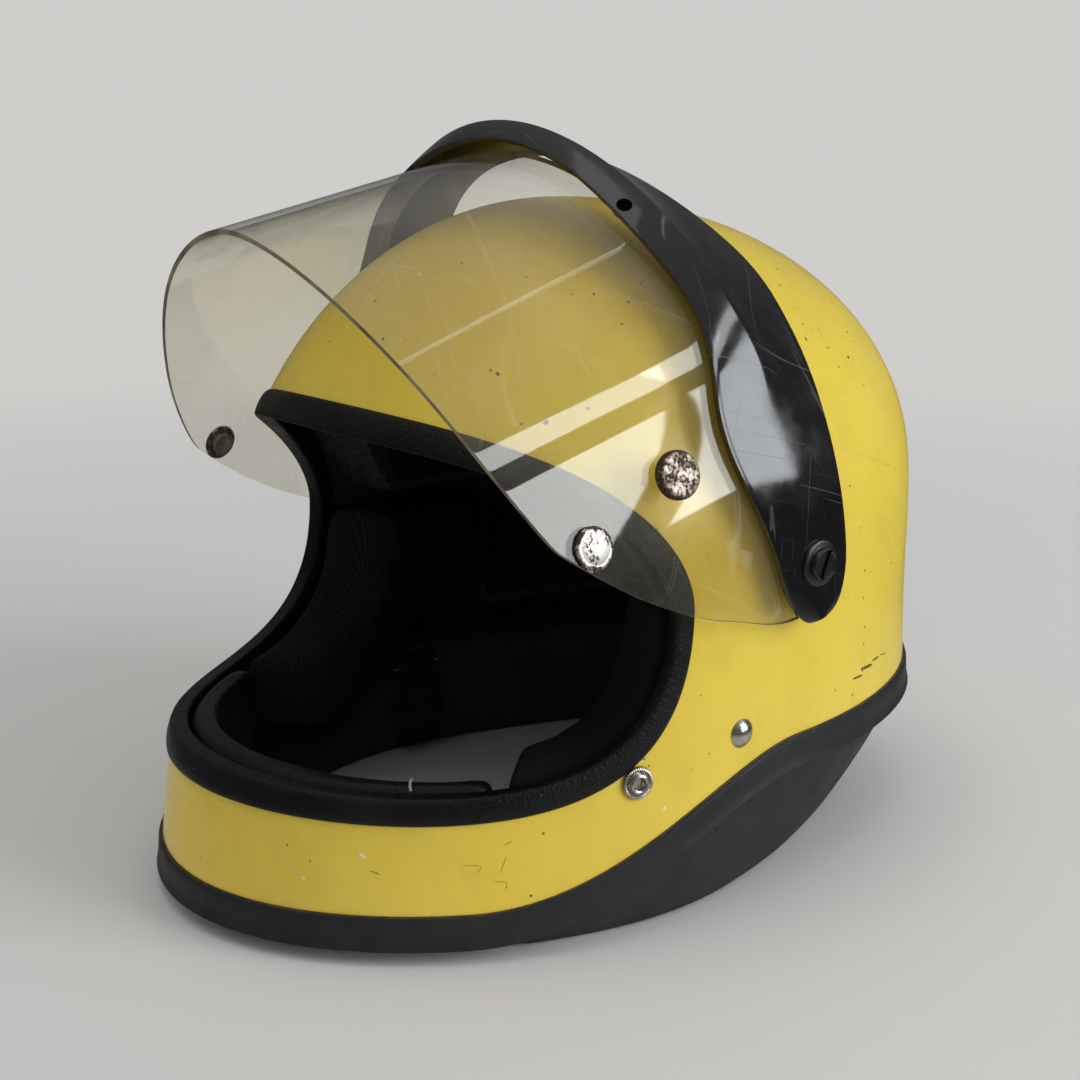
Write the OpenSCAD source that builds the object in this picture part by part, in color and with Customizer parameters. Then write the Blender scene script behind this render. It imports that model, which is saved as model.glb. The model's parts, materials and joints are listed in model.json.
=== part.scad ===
// Full-face motorcycle helmet with a flip-up visor.
// X runs across the helmet, Y from the chin bar to the nape, Z up from the table it stands on.

/* [Shell] */
// Half of the shell's width at its widest
half_w = 124; // [118:1:130]
// Height of the crown above the table
crown_z = 269; // [260:1:280]
// Reach of the forehead in front of the head's centre
brow_reach = 149; // [144:1:155]
// Reach of the chin bar in front of the head's centre
chin_reach = 180; // [174:1:186]
// Reach of the shell behind the head's centre
back_reach = 173; // [168:1:180]
// How far the chin bar flares out towards its base
chin_flare = 6; // [0:1:8]
// Wall of the moulded shell
shell_wall = 4; // [3:0.5:5]

/* [Eye port] */
// Half angle of the port about the head's centre, to the outside of its trim
port_angle = 71.1; // [69:0.1:73]
// Height of the port's middle line at the front
port_mid_z = 142; // [138:1:146]
// Drop of the middle line from the front to the sides
port_mid_drop = 17.3; // [12:0.1:21]
// From the middle line up to the upper edge of the trim
port_rise = 53.4; // [50:0.2:56]
// From the middle line down to the lower edge of the trim
port_fall = 87.6; // [84:0.2:90]
// Width of the trim's lip on the shell
port_lip = 9; // [8:0.5:11]

/* [Base] */
// Height of the base trim's upper edge at the chin
base_front_z = 18.7; // [17:0.1:21]
// Height of the base trim's upper edge behind the cheeks
base_side_z = 64.4; // [60:0.2:67]
// Height of the base trim's upper edge at the nape
base_back_z = 67.1; // [64:0.1:72]
// Height of the base trim
base_trim_h = 13; // [11:1:14]
// Thickness of both rubber trims over the shell
trim_t = 1.6; // [1.2:0.1:2]
// Half angle at which the neck roll ends beside the chin
roll_end_angle = 40; // [36:1:50]
// How far the roll's foot is set in from the shell beside the cheeks
roll_side_inset = 5.6; // [4:0.2:9]
// How far the roll's foot is set in from the shell at the nape
roll_back_inset = 29.4; // [24:0.2:32]
// Thickness of the neck roll, from the shell inwards
roll_t = 30; // [28:1:32]

/* [Padding] */
// Thickness of the foam energy liner
foam_t = 24; // [18:1:28]
// Thickness of the fabric comfort liner
comfort_t = 9; // [6:1:12]
// Thickness of the foam core in the chin bar
chin_foam_t = 6; // [4:1:8]
// Thickness of the chin pad at its crown
chin_pad_t = 8; // [5:1:10]
// Thickness of a cheek pad at its crown
cheek_t = 38; // [32:1:40]
// Azimuth where the cheek pads meet the chin pad
cheek_front_angle = 39; // [34:1:46]
// Azimuth of the cheek pads' rear ends
cheek_rear_angle = 106; // [98:1:108]

/* [Visor] */
// Half width of the visor sheet, middle of its thickness
visor_half_w = 130.3; // [129.6:0.1:132]
// From the pivot axis to the middle of the sheet at the crown of its arch
visor_arch_h = 155; // [152:0.5:158]
// Thickness of the sheet
sheet_t = 2; // [1.6:0.2:2.4]
// From the pivot axis to the front edge, along the sheet, at the crown
visor_front = 143.7; // [139:0.1:147]
// From the pivot axis to the front edge, along the sheet, at the corners
visor_corner = 118.9; // [114:0.1:122]
// Thickness of the frame band
frame_t = 2.6; // [2:0.2:3]
// How far the frame's ridge stands out at the crown
ridge_h = 12.7; // [9:0.1:15]
// Angle that the visor is raised from shut
visor_raise = 55; // [0:1:60]
// Height of the pivot axis above the table
pivot_z = 138; // [136:1:141]
// Distance of the pivot axis behind the head's centre
pivot_back = 10.5; // [8:0.5:14]

/* [Fittings] */
// Diameter of the pivot screws' shanks
pivot_d = 5; // [4:0.5:6]
// Diameter of the pivot screws' heads
pivot_head_d = 16; // [13:1:18]
// Diameter of the snap caps
cap_d = 15.5; // [13:0.5:16]
// Diameter of the knurled lift knobs
knob_d = 18; // [15:0.5:18]
// Height of the lift knobs
knob_h = 4; // [3:0.5:5]
// Diameter of the snap studs' rings
stud_ring_d = 12; // [10:0.5:13]
// Height of the snap studs over the shell
stud_h = 2.3; // [2:0.1:2.5]
// Diameter of the strap rivets' domed heads
rivet_d = 11.5; // [9:0.5:13]
// Diameter of the strap rivets' shanks
rivet_shank_d = 5; // [4:0.5:6]
// Diameter of the open fixing holes in the frame
frame_hole_d = 6; // [4:0.5:7]

/* [Chin strap] */
// Width of the webbing
strap_w = 20; // [18:0.5:20.5]
// Thickness of the webbing
strap_t = 1.6; // [1.2:0.2:2]
// Thickness of the hangers' steel plate
hanger_t = 1.5; // [1:0.1:2]
// Wire diameter of the hanger bars and D-rings
wire_d = 3; // [2.6:0.2:3.4]
// Radius of the D-rings' bow, at the middle of the wire
ring_r = 12; // [11:0.5:12.5]

/* [Hidden] */
$fn = 48;

// Clearances: trim over the shell, foam in the shell, soft pieces, and a running shank
trim_gap = 0.3;
foam_gap = 0.8;
soft_gap = 0.8;
face_gap = 0.3;
run_gap = 0.05;

// Heights where the dome is widest across, at the brow and at the back
side_eq = 124;
brow_eq = 95;
back_eq = 154.5;
// Exponents of the dome's profiles and of its plan
side_curve = 2.17;
brow_curve = 1.92;
back_curve = 1.96;
plan_curve = 2.19;
chin_plan_curve = 2;
// Growth of the sides and the back towards the table
side_flare = 3.45;
back_flare = 13.3;
// Share of the lower shell over which the chin bar comes forward
chin_start = 0.6;
// Start and length of the chin bar's flare, as shares of the lower shell
flare_start = 0.45;
flare_run = 0.5;
// Azimuths between which the base edge climbs
base_climb_from = 36.7;
base_climb_to = 98;
// How far the shell's edge reaches down into the base trim
base_grip = 9;
// Exponents of the port's upper and lower edges, and its mean radius
port_top_curve = [3.28, 1.99];
port_bottom_curve = [3.72, 2.16];
port_r = 150;

// Azimuths and heights of the snap studs and strap rivets on the shell
stud_at = [61, 62.2];
rivet_at = [82.6, 72.3];
stud_ring_h = 1.2;
stud_post_d = 6.4;
stud_screw_d = 3;
rivet_head_h = 2.6;
rivet_tail_h = 1;
rivet_tail_d = 8;
hanger_stand = 0.7;
// Places on the visor: height over the pivot axis along the arch plane, and reach along the sheet
snap_place = [40.6, 98.8];
knob_place = [52.4, 56.2];
hole_place = [133.2, 17.6];
// Tilt of the shut visor's sheet below the horizontal
visor_shut_tilt = 66.9;
visor_tilt = visor_shut_tilt - visor_raise;
// The arch is boxy at the pivots and rounder at the front edge
arch_curve = 2.1;
arch_curve_fall = 0.0024;
// The lower edge of the sheet rises towards the front
sheet_low = -17.2;
sheet_low_rise = 208;
sheet_edge_curve = 2.68;
// The frame's rounded ends lie below the pivot axis
frame_tip = -23;
// Height over the pivot axis, then the frame's leading edge, ridge and trailing edge along the sheet
frame_edges = [[-20, 15.5, 0.9, -16], [11, 21.1, -1.5, -18.3], [46, 30.5, -4, -20.5], [60, 32.2, -3.3, -21.5],
               [72, 29.4, -2.6, -22.4], [90, 21.1, 2.4, -23], [105, 18.9, 4.2, -23.5],
               [125, 21.3, 6.7, -17.6], [140, 22.4, 8.4, -13.2], [170, 18.1, 11.8, -7.8]];
// The sheet's rear edge: rounded below the pivot, then close behind the frame's leading edge
sheet_back_edge = [[-17.2, 4], [-15, -4], [-10, -9], [-2, -12], [30, -10], [50, -2], [62, 14], [75, 17],
                   [90, 12], [105, 10], [125, 13], [155, 13]];
// Ahead of the pivots the arch narrows by this share of the way along the sheet
visor_taper = 0.046;
visor_flat = 25;
// Rounding of the sheet's front corners, and how far up the arch it reaches
sheet_corner = 7.2;
sheet_corner_share = 0.16;

function ramp(x) = let(c = max(0, min(1, x))) c * c * (3 - 2 * c);
function mix(a, b, k) = a + (b - a) * k;

// The dome: half width, front reach and rear reach at height z, moved out by d
function bulge(z, eq, m, top) =
    let(s = max(0, min(1, (z - eq) / (top - eq)))) pow(max(0, 1 - pow(s, m)), 1 / m);
function lowness(z) = max(0, (side_eq - z) / side_eq);
function chin_share(z) = ramp(lowness(z) / chin_start);
function side_at(z, d) =
    (half_w + d) * bulge(z, side_eq, side_curve, crown_z + d) + side_flare * pow(lowness(z), 2);
function front_at(z, d) =
    (brow_reach + d) * bulge(z, brow_eq, brow_curve, crown_z + d)
    + (chin_reach - brow_reach) * chin_share(z)
    + chin_flare * ramp((lowness(z) - flare_start) / flare_run);
function rear_at(z, d) =
    (back_reach + d) * bulge(z, back_eq, back_curve, crown_z + d) + back_flare * pow(lowness(z), 2);
function dome_r(t, z, d) =
    let(front = cos(t) > 0,
        reach = front ? front_at(z, d) : rear_at(z, d),
        n = front ? mix(plan_curve, chin_plan_curve, chin_share(z)) : plan_curve)
    1 / pow(pow(abs(sin(t)) / side_at(z, d), n) + pow(abs(cos(t)) / reach, n), 1 / n);
function dome(t, z, d) = let(r = dome_r(t, z, d)) [r * sin(t), -r * cos(t), z];
function dome_normal(t, z) =
    let(across = dome(t + 1, z, 0) - dome(t - 1, z, 0),
        up = dome(t, z + 1, 0) - dome(t, z - 1, 0),
        n = cross(across, up))
    n / norm(n);
// Heights from an edge up to the crown, evenly turned
function rise_z(edge, d, k) =
    let(span = crown_z + d - side_eq, from = asin((edge - side_eq) / span))
    side_eq + span * sin(mix(from, 90, k));

// The base edge and the eye port; u runs from 0 at the front to 1 at the port's side
function base_z(t) =
    let(a = abs(t) > 180 ? 360 - abs(t) : abs(t))
    base_front_z
    + (base_side_z - base_front_z) * ramp((a - base_climb_from) / (base_climb_to - base_climb_from))
    + (base_back_z - base_side_z) * ramp((a - base_climb_to) / (180 - base_climb_to));
function port_turn(g) = port_angle + g / port_r * 180 / PI;
function port_mid(u) = port_mid_z - port_mid_drop * u * u;
function port_top(u, g) = port_mid(u)
    + (port_rise + g) * pow(max(0, 1 - pow(u, port_top_curve[0])), 1 / port_top_curve[1]);
function port_bottom(u, g) = port_mid(u)
    - (port_fall + g) * pow(max(0, 1 - pow(u, port_bottom_curve[0])), 1 / port_bottom_curve[1]);
function port_u(t, g) = min(1, abs(t) / port_turn(g));

// The head's centre lies so that the origin is below the middle of the whole helmet
front_end = front_at(base_front_z - base_trim_h + 1, 0) + trim_t;
back_end = rear_at(base_back_z - base_trim_h + 1, 0) + trim_t;
head_y = (front_end - back_end) / 2;

// A ring of azimuths: the port's columns first, closer together at its sides, then the rest
function ring(half, front_n, rear_n) = concat(
    [for (i = [0 : 2 * front_n]) half * sin(90 * (i / front_n - 1))],
    [for (j = [1 : rear_n - 1]) half + (360 - 2 * half) * j / rear_n]);

// Both skins of a wall, joined along its open edges
module two_skins(outer, inner, faces, loops) {
    m = len(outer);
    polyhedron(concat(outer, inner), concat(
        faces,
        [for (f = faces) [f[0] + m, f[2] + m, f[1] + m]],
        [for (loop = loops, k = [0 : len(loop) - 1])
            let(a = loop[k], b = loop[(k + 1) % len(loop)]) each [[b, a, a + m], [b, a + m, b + m]]]));
}

// A cap over the head: edge gives the height over the port, low the height of the lower edge,
// and chin, where there is one, the upper edge of the strip that passes under the port
module cap(cols, front_n, edge, low, d_out, d_in, up_n, low_n, chin = []) {
    r = len(cols);
    ports = 2 * front_n;
    first = len(chin) > 0 ? 0 : ports;
    pole = r * up_n;
    chin_base = pole + 1 + r * low_n;
    function up(i, k) = (i % r) * up_n + k;
    function under(i, k) =
        let(c = i % r, on_chin = len(chin) > 0 && c > 0 && c < ports)
        k < low_n ? pole + 1 + c * low_n + k : on_chin ? chin_base + c - 1 : up(c, 0);
    function low_top(i) = len(chin) > 0 && i > 0 && i < ports ? chin[i] : edge[i];
    function points(d) = concat(
        [for (i = [0 : r - 1], k = [0 : up_n - 1]) dome(cols[i], rise_z(edge[i], d, k / up_n), d)],
        [[0, 0, crown_z + d]],
        [for (i = [0 : r - 1], k = [0 : low_n - 1])
            dome(cols[i], mix(low[i], low_top(i), k / low_n), d)],
        [for (i = [1 : 1 : len(chin) > 0 ? ports - 1 : 0]) dome(cols[i], chin[i], d)]);
    faces = concat(
        [for (i = [0 : r - 1], k = [0 : up_n - 2]) each [
            [up(i, k), up(i, k + 1), up(i + 1, k + 1)], [up(i, k), up(i + 1, k + 1), up(i + 1, k)]]],
        [for (i = [0 : r - 1]) [up(i, up_n - 1), pole, up(i + 1, up_n - 1)]],
        [for (i = [first : r - 1], k = [0 : low_n - 1]) each [
            [under(i, k), under(i, k + 1), under(i + 1, k + 1)],
            [under(i, k), under(i + 1, k + 1), under(i + 1, k)]]]);
    port_top_run = [for (i = [ports : -1 : 0]) up(i, 0)];
    loops = len(chin) > 0
        ? [[for (i = [r - 1 : -1 : 0]) under(i, 0)],
           concat(port_top_run, [for (i = [1 : ports - 1]) under(i, low_n)])]
        : [concat(port_top_run,
                  [for (k = [low_n - 1 : -1 : 0]) under(0, k)],
                  [for (i = [r - 1 : -1 : ports]) under(i, 0)],
                  [for (k = [1 : 1 : low_n - 1]) under(ports, k)])];
    two_skins(points(d_out), points(d_in), faces, loops);
}

// Faces and outer edge of a patch of a by b cells, seen from outside: i to the right, j upwards
function patch_faces(a, b) = [for (i = [0 : a - 1], j = [0 : b - 1])
    let(p = i * (b + 1) + j, q = p + b + 1) each [[p, p + 1, q + 1], [p, q + 1, q]]];
function patch_edge(a, b) = concat(
    [for (j = [0 : b - 1]) j],
    [for (i = [0 : a - 1]) i * (b + 1) + b],
    [for (j = [b : -1 : 1]) a * (b + 1) + j],
    [for (i = [a : -1 : 1]) i * (b + 1)]);

// A pad against the inside of the shell, crowned towards the head and thinner at its edges
module pad(from, to, low, high, d_out, thick, edge_share, across_n, up_n) {
    function crown(i, j) =
        let(u = 2 * i / across_n - 1, v = 2 * j / up_n - 1)
        mix(edge_share, 1, sqrt((1 - pow(u, 4)) * (1 - pow(v, 4))));
    function points(inner) = [for (i = [0 : across_n], j = [0 : up_n])
        let(t = mix(from, to, i / across_n))
        dome(t, mix(low[i], high[i], j / up_n), d_out - (inner ? thick * crown(i, j) : 0))];
    two_skins(points(false), points(true), patch_faces(across_n, up_n), [patch_edge(across_n, up_n)]);
}

// A skin through rings of points, closed on itself or capped at both ends
module loft(rings, closed = false) {
    n = len(rings);
    m = len(rings[0]);
    function at(i, j) = (i % n) * m + j % m;
    polyhedron([for (one = rings) each one], concat(
        [for (i = [0 : n - (closed ? 1 : 2)], j = [0 : m - 1]) each [
            [at(i, j), at(i, j + 1), at(i + 1, j + 1)], [at(i, j), at(i + 1, j + 1), at(i + 1, j)]]],
        closed ? [] : [[for (j = [m - 1 : -1 : 0]) at(0, j)], [for (j = [0 : m - 1]) at(n - 1, j)]]));
}

// Places: the head's centre, a point on the shell with Z along its normal, and both sides
module at_head() translate([0, head_y, 0]) children();
module on_shell(t, z) {
    n = dome_normal(t, z);
    at_head() translate(dome(t, z, 0)) rotate([0, acos(n[2]), atan2(n[1], n[0])]) children();
}
module both_sides() for (side = [0, 1]) mirror([side, 0, 0]) children();

// Outer shell: one moulding with the port, and bores for the pivots, studs and rivets
front_n = 20;
shell_cols = ring(port_turn(-port_lip), front_n, 40);
shell_u = [for (t = shell_cols) port_u(t, -port_lip)];
shell_top = [for (u = shell_u) port_top(u, -port_lip)];
shell_bottom = [for (u = shell_u) port_bottom(u, -port_lip)];
shell_low = [for (t = shell_cols) base_z(t) - base_grip];
module shell_bores() {
    both_sides() {
        at_pivot() along_x(pivot_d + 2 * run_gap, pivot_x - 3 * shell_wall, pivot_x + shell_wall);
        on_shell(stud_at[0], stud_at[1])
            translate([0, 0, -3 * shell_wall]) cylinder(d = stud_screw_d + 2 * run_gap, h = 4 * shell_wall);
        on_side() along_x(rivet_shank_d + 2 * run_gap, -3 * shell_wall, shell_wall);
    }
}
module outer_shell() color("gold") difference() {
    at_head() cap(shell_cols, front_n, shell_top, shell_low, 0, -shell_wall, 12, 5, shell_bottom);
    shell_bores();
}

// Liners: the foam hangs from the brow to the nape and leaves the cheeks to their pads
liner_front_n = 14;
liner_cols = ring(cheek_rear_angle + 3, liner_front_n, 18);
liner_brow_gap = 3;
function liner_edge(t) = max(port_mid(1) + 6, port_top(port_u(t, liner_brow_gap), liner_brow_gap));
liner_top = [for (t = liner_cols) liner_edge(t)];
liner_low = [for (t = liner_cols) base_z(t) + 1];
foam_out = -shell_wall - foam_gap;
foam_in = foam_out - foam_t;
nut_pocket_d = 20;
nut_pocket_depth = 9;
module energy_liner() color("whitesmoke") difference() {
    at_head() cap(liner_cols, liner_front_n, liner_top, liner_low, foam_out, foam_in, 8, 3);
    both_sides() at_pivot() along_x(nut_pocket_d, pivot_x - shell_wall - nut_pocket_depth, pivot_x);
}
comfort_rise = 4;
module comfort_liner() color("dimgray") at_head()
    cap(liner_cols, liner_front_n, [for (z = liner_top) z + comfort_rise],
        [for (z = liner_low) z + comfort_rise], foam_in - soft_gap, foam_in - soft_gap - comfort_t, 8, 3);

// Chin bar: a foam core between the two trims, and the stitched pad over it
chin_n = 16;
chin_turns = [for (i = [0 : chin_n]) mix(-cheek_front_angle, cheek_front_angle, i / chin_n)];
chin_foam_d = -shell_wall - foam_gap;
chin_pad_d = chin_foam_d - chin_foam_t - soft_gap;
chin_pad_over = 12;
module chin_bar_liner() color("whitesmoke") at_head()
    pad(-cheek_front_angle + 1, cheek_front_angle - 1, [for (t = chin_turns) base_z(t) + 1],
        [for (t = chin_turns) port_bottom(port_u(t, 0), 0) - 1], chin_foam_d, chin_foam_t, 1, chin_n, 2);
module chin_pad() color("black") at_head()
    pad(-cheek_front_angle, cheek_front_angle, [for (t = chin_turns) base_z(t) - 2],
        [for (t = chin_turns) port_bottom(port_u(t, -chin_pad_over), -chin_pad_over)],
        chin_pad_d, chin_pad_t, 0.6, chin_n, 6);

// Cheek pads: crowned cushions behind the port's sides
cheek_n = 12;
cheek_gap_angle = 0.5;
cheek_turns = [for (i = [0 : cheek_n])
    mix(cheek_front_angle + cheek_gap_angle, cheek_rear_angle, i / cheek_n)];
cheek_d = -shell_wall - hanger_stand - hanger_t - rivet_tail_h - soft_gap;
cheek_over = 13;
cheek_lift = 13.5;
cheek_edge_share = 0.8;
module cheek_pad_left() color("black") at_head()
    pad(cheek_turns[0], cheek_turns[cheek_n], [for (t = cheek_turns) base_z(t) + cheek_lift],
        [for (t = cheek_turns) port_bottom(port_u(t, -cheek_over), -cheek_over)],
        cheek_d, cheek_t, cheek_edge_share, cheek_n, 8);
module cheek_pad_right() mirror([1, 0, 0]) cheek_pad_left();

// Neck roll: a padded skirt under the base trim, on whose flat foot the helmet stands
roll_n = 44;
roll_rim = 3.4;
roll_back_more = 16;
function roll_turn(t) = ramp(((t > 180 ? 360 - t : t) - 61) / 83);
function roll_face(t, k) =
    let(top = base_z(t) - base_trim_h - face_gap)
    dome(t, top * k, -roll_rim - mix(roll_side_inset, roll_back_inset, roll_turn(t)) * pow(1 - k, 1.22));
function roll_ring(t) =
    let(top = base_z(t) - base_trim_h - face_gap, deep = -roll_t - roll_back_more * roll_turn(t))
    [dome(t, top, deep + 6), dome(t, top * 0.75, deep), dome(t, top * 0.3, deep), dome(t, 0, deep + 4),
     roll_face(t, 0), roll_face(t, 0.15), roll_face(t, 0.4), roll_face(t, 0.7), roll_face(t, 1)];
module neck_roll() color("dimgray") at_head()
    loft([for (i = [0 : roll_n]) roll_ring(mix(roll_end_angle, 360 - roll_end_angle, i / roll_n))]);

// Trims: rubber channels pressed over the edges of the port and the base
function channel(grip, height) = [
    [-grip - trim_gap, trim_gap], [-grip - trim_gap, -shell_wall - trim_gap],
    [0, -shell_wall - trim_gap], [0, -shell_wall - trim_gap - 0.8],
    [-1.2, -shell_wall - trim_t], [-height + 1.5, -shell_wall - trim_t],
    [-height, -shell_wall * 0.6], [-height, trim_t * 0.4], [-height + 1.5, trim_t],
    [-1.2, trim_t], [0, trim_gap + 0.8], [0, trim_gap]];
port_wrap = 1.5;
port_steps = concat(
    [for (i = [0 : 2 * front_n]) [i / front_n - 1, 1]],
    [for (i = [2 * front_n - 1 : -1 : 1]) [i / front_n - 1, -1]]);
function port_ring(s, way) = [for (c = channel(port_lip, port_lip + port_wrap))
    let(u = abs(sin(90 * s)))
    dome(sin(90 * s) * port_turn(c[0]), way > 0 ? port_top(u, c[0]) : port_bottom(u, c[0]), c[1])];
module eye_port_trim() color("black") at_head()
    loft([for (s = port_steps) port_ring(s[0], s[1])], true);
module base_trim() color("darkslategray") at_head()
    loft([for (t = shell_cols) [for (c = channel(base_grip, base_trim_h)) dome(t, base_z(t) + c[0], c[1])]],
         true);

// Visor: everything on it is drawn about the pivot axis, [across, back, up the arch]
function arch_n(v) = arch_curve - arch_curve_fall * v;
function arch_w(v) = visor_half_w - visor_taper * max(0, v - visor_flat);
function arch(w, top, n, h) = w * pow(max(0, 1 - pow(min(1, max(0, h) / top), n)), 1 / n);
function arch_x(h, v, g) = arch(arch_w(v) + g, visor_arch_h + g, arch_n(v), h);
function arch_normal(h, v) =
    let(n = [1, arch_x(h, v + 0.5, 0) - arch_x(h, v - 0.5, 0), arch_x(h - 0.5, v, 0) - arch_x(h + 0.5, v, 0)])
    n / norm(n);
function sheet_front(p) =
    mix(visor_corner, visor_front, 1 - pow(1 - p, sheet_edge_curve))
    - sheet_corner * (1 - sqrt(1 - pow(1 - min(1, p / sheet_corner_share), 2)));
function sheet_back(p) = lookup(mix(sheet_low, visor_arch_h, sin(90 * p)), sheet_back_edge);
function sheet_point(a, q, g) =
    let(p = pow(1 - abs(a), 1.3), v = mix(sheet_front(p), sheet_back(p), q),
        h = mix(sheet_low + v * v / sheet_low_rise, visor_arch_h + g, sin(90 * p)))
    [sign(a) * arch_x(h, v, g), -v, h];
pivot_turn = acos(-pivot_back / dome_r(acos(-pivot_back / half_w), pivot_z, 0));
pivot_x = dome(pivot_turn, pivot_z, 0)[0];
frame_in = sheet_t / 2 + 0.8;
frame_out = frame_in + frame_t;
module at_pivot() at_head() translate([0, pivot_back, pivot_z]) children();
module at_visor() at_pivot() rotate([visor_tilt, 0, 0]) children();
module along_x(d, from, to) translate([from, 0, 0]) rotate([0, 90, 0]) cylinder(d = d, h = to - from);
module on_visor(place, g) {
    n = arch_normal(place[0], place[1]);
    at_visor() translate([arch_x(place[0], place[1], 0), -place[1], place[0]] + g * n)
        rotate([0, acos(n[2]), atan2(n[1], n[0])]) children();
}
module visor_bore(place, d) on_visor(place, -3 * sheet_t) cylinder(d = d, h = 6 * sheet_t);

sheet_cols = 52;
sheet_rows = 9;
knob_stem_d = 4;
module visor_sheet() color("ivory", 0.4) difference() {
    at_visor() two_skins(
        [for (i = [0 : sheet_cols], j = [0 : sheet_rows])
            sheet_point(2 * i / sheet_cols - 1, j / sheet_rows, sheet_t / 2)],
        [for (i = [0 : sheet_cols], j = [0 : sheet_rows])
            sheet_point(2 * i / sheet_cols - 1, j / sheet_rows, -sheet_t / 2)],
        patch_faces(sheet_cols, sheet_rows), [patch_edge(sheet_cols, sheet_rows)]);
    both_sides() {
        at_pivot() along_x(pivot_d + 2 * run_gap, pivot_x, visor_half_w + 2 * sheet_t);
        visor_bore(snap_place, socket_d + 2 * run_gap);
        visor_bore(knob_place, knob_stem_d + 2 * run_gap);
    }
}

// Frame band: a front facet and a rear facet that meet in a ridge over the crown
frame_steps = 28;
frame_curve = 2;
lead_h = 7.3;
trail_drop = 4.1;
// The crease stands out a little on the arms too
ridge_proud = 0.25;
edge_blur = 6;
function frame_edge(h, c) =
    let(rows = [for (e = frame_edges) [e[0], e[c]]])
    (lookup(h - edge_blur, rows) + 2 * lookup(h, rows) + lookup(h + edge_blur, rows)) / 4;
// A point of the frame at turn a: edge c of the table, at a height over the sheet's arch
function frame_point(a, c, over, g) =
    let(top = visor_arch_h + over, h = mix(frame_tip, top, sin(90 * (1 - abs(a)))),
        v = frame_edge(h, c) * (h < 0 ? sqrt(max(0.03, 1 - pow(h / frame_tip, 2))) : 1))
    [sign(a) * arch(arch_w(v) + g, top, frame_curve, h), -v, h];
function frame_ring(a) =
    [frame_point(a, 1, lead_h - frame_t, frame_in), frame_point(a, 1, lead_h, frame_out),
     frame_point(a, 2, ridge_h, frame_out + ridge_proud), frame_point(a, 3, -trail_drop, frame_out),
     frame_point(a, 3, -trail_drop - frame_t, frame_in),
     frame_point(a, 2, ridge_h - frame_t, frame_in + ridge_proud)];
module visor_frame() color("black") difference() {
    at_visor() loft([for (i = [-frame_steps : frame_steps]) frame_ring(i / frame_steps)]);
    both_sides() {
        at_pivot() along_x(pivot_d + 2 * run_gap, pivot_x, visor_half_w + 4 * frame_t);
        on_visor(hole_place, 0) cylinder(d = frame_hole_d, h = 2 * ridge_h);
    }
}

// Pivots: a slotted screw through frame and sheet, a spacer on the shell and a nut inside it
pivot_head_h = 3.5;
pivot_slot = [2, 1.4];
pivot_boss_d = 11;
pivot_face_x = visor_half_w + frame_out + face_gap;
pivot_nut_h = 4;
pivot_nut_d = 11.5;
nut_stand = 0.5;
pivot_nut_x = pivot_x - shell_wall - nut_stand;
module pivot_screws() color("black") both_sides() at_pivot() difference() {
    union() {
        along_x(pivot_d, pivot_nut_x - pivot_nut_h - 1, pivot_face_x + 1);
        along_x(pivot_head_d, pivot_face_x, pivot_face_x + pivot_head_h * 0.6);
        along_x(pivot_boss_d, pivot_face_x, pivot_face_x + pivot_head_h);
    }
    translate([pivot_face_x + pivot_head_h - pivot_slot[1], -pivot_slot[0] / 2, -pivot_head_d / 2])
        cube([pivot_slot[1] + 1, pivot_slot[0], pivot_head_d]);
}
module pivot_spacers() color("dimgray") both_sides() at_pivot() difference() {
    along_x(pivot_head_d, pivot_x + face_gap / 2, visor_half_w - sheet_t / 2 - face_gap);
    along_x(pivot_d + 2 * run_gap, pivot_x - 1, visor_half_w);
}
module pivot_nuts() color("silver") both_sides() at_pivot() difference() {
    translate([pivot_nut_x - pivot_nut_h, 0, 0]) rotate([0, 90, 0])
        cylinder(d = pivot_nut_d, h = pivot_nut_h, $fn = 6);
    along_x(pivot_d + 2 * run_gap, pivot_nut_x - 2 * pivot_nut_h, pivot_x);
}

// Snap caps and sockets on the visor, lift knobs, and the studs on the chin bar
cap_h = 2.2;
socket_d = 10;
socket_bore_d = 7;
module snap_caps() color("silver") both_sides() on_visor(snap_place, sheet_t / 2 + face_gap / 2) {
    rotate_extrude() polygon([[0, 0], [cap_d / 2 - 0.6, 0], [cap_d / 2, 0.6], [cap_d / 2, cap_h * 0.55],
                              [cap_d / 2 - 0.8, cap_h * 0.85], [0, cap_h]]);
}
module snap_sockets() color("silver") both_sides() on_visor(snap_place, -sheet_t / 2)
    difference() {
        cylinder(d = socket_d, h = sheet_t + face_gap / 4);
        translate([0, 0, -1]) cylinder(d = socket_bore_d, h = sheet_t + 0.5);
    }
module lift_knobs() color("silver") both_sides() on_visor(knob_place, sheet_t / 2 + face_gap / 2) {
    rotate_extrude() polygon([[0, 0], [knob_d / 2 - 0.5, 0], [knob_d / 2, 0.5], [knob_d / 2, knob_h - 0.8],
                              [knob_d / 2 - 0.8, knob_h - 0.2], [0, knob_h]]);
    translate([0, 0, -sheet_t]) cylinder(d = knob_stem_d, h = sheet_t + 0.5);
}
stud_nut_h = 1.8;
stud_nut_d = 8;
stud_stand = 0.5;
module snap_studs() color("silver") both_sides() on_shell(stud_at[0], stud_at[1]) {
    difference() {
        union() {
            translate([0, 0, face_gap / 2]) cylinder(d = stud_ring_d, h = stud_ring_h);
            translate([0, 0, face_gap / 2]) cylinder(d = stud_post_d, h = stud_h - face_gap / 2);
        }
        translate([0, 0, stud_h - 0.8]) cylinder(d = stud_post_d / 2, h = 1);
    }
    translate([0, 0, -shell_wall - stud_stand - stud_nut_h - 0.4])
        cylinder(d = stud_screw_d, h = shell_wall + stud_stand + stud_nut_h + 1);
}
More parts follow.
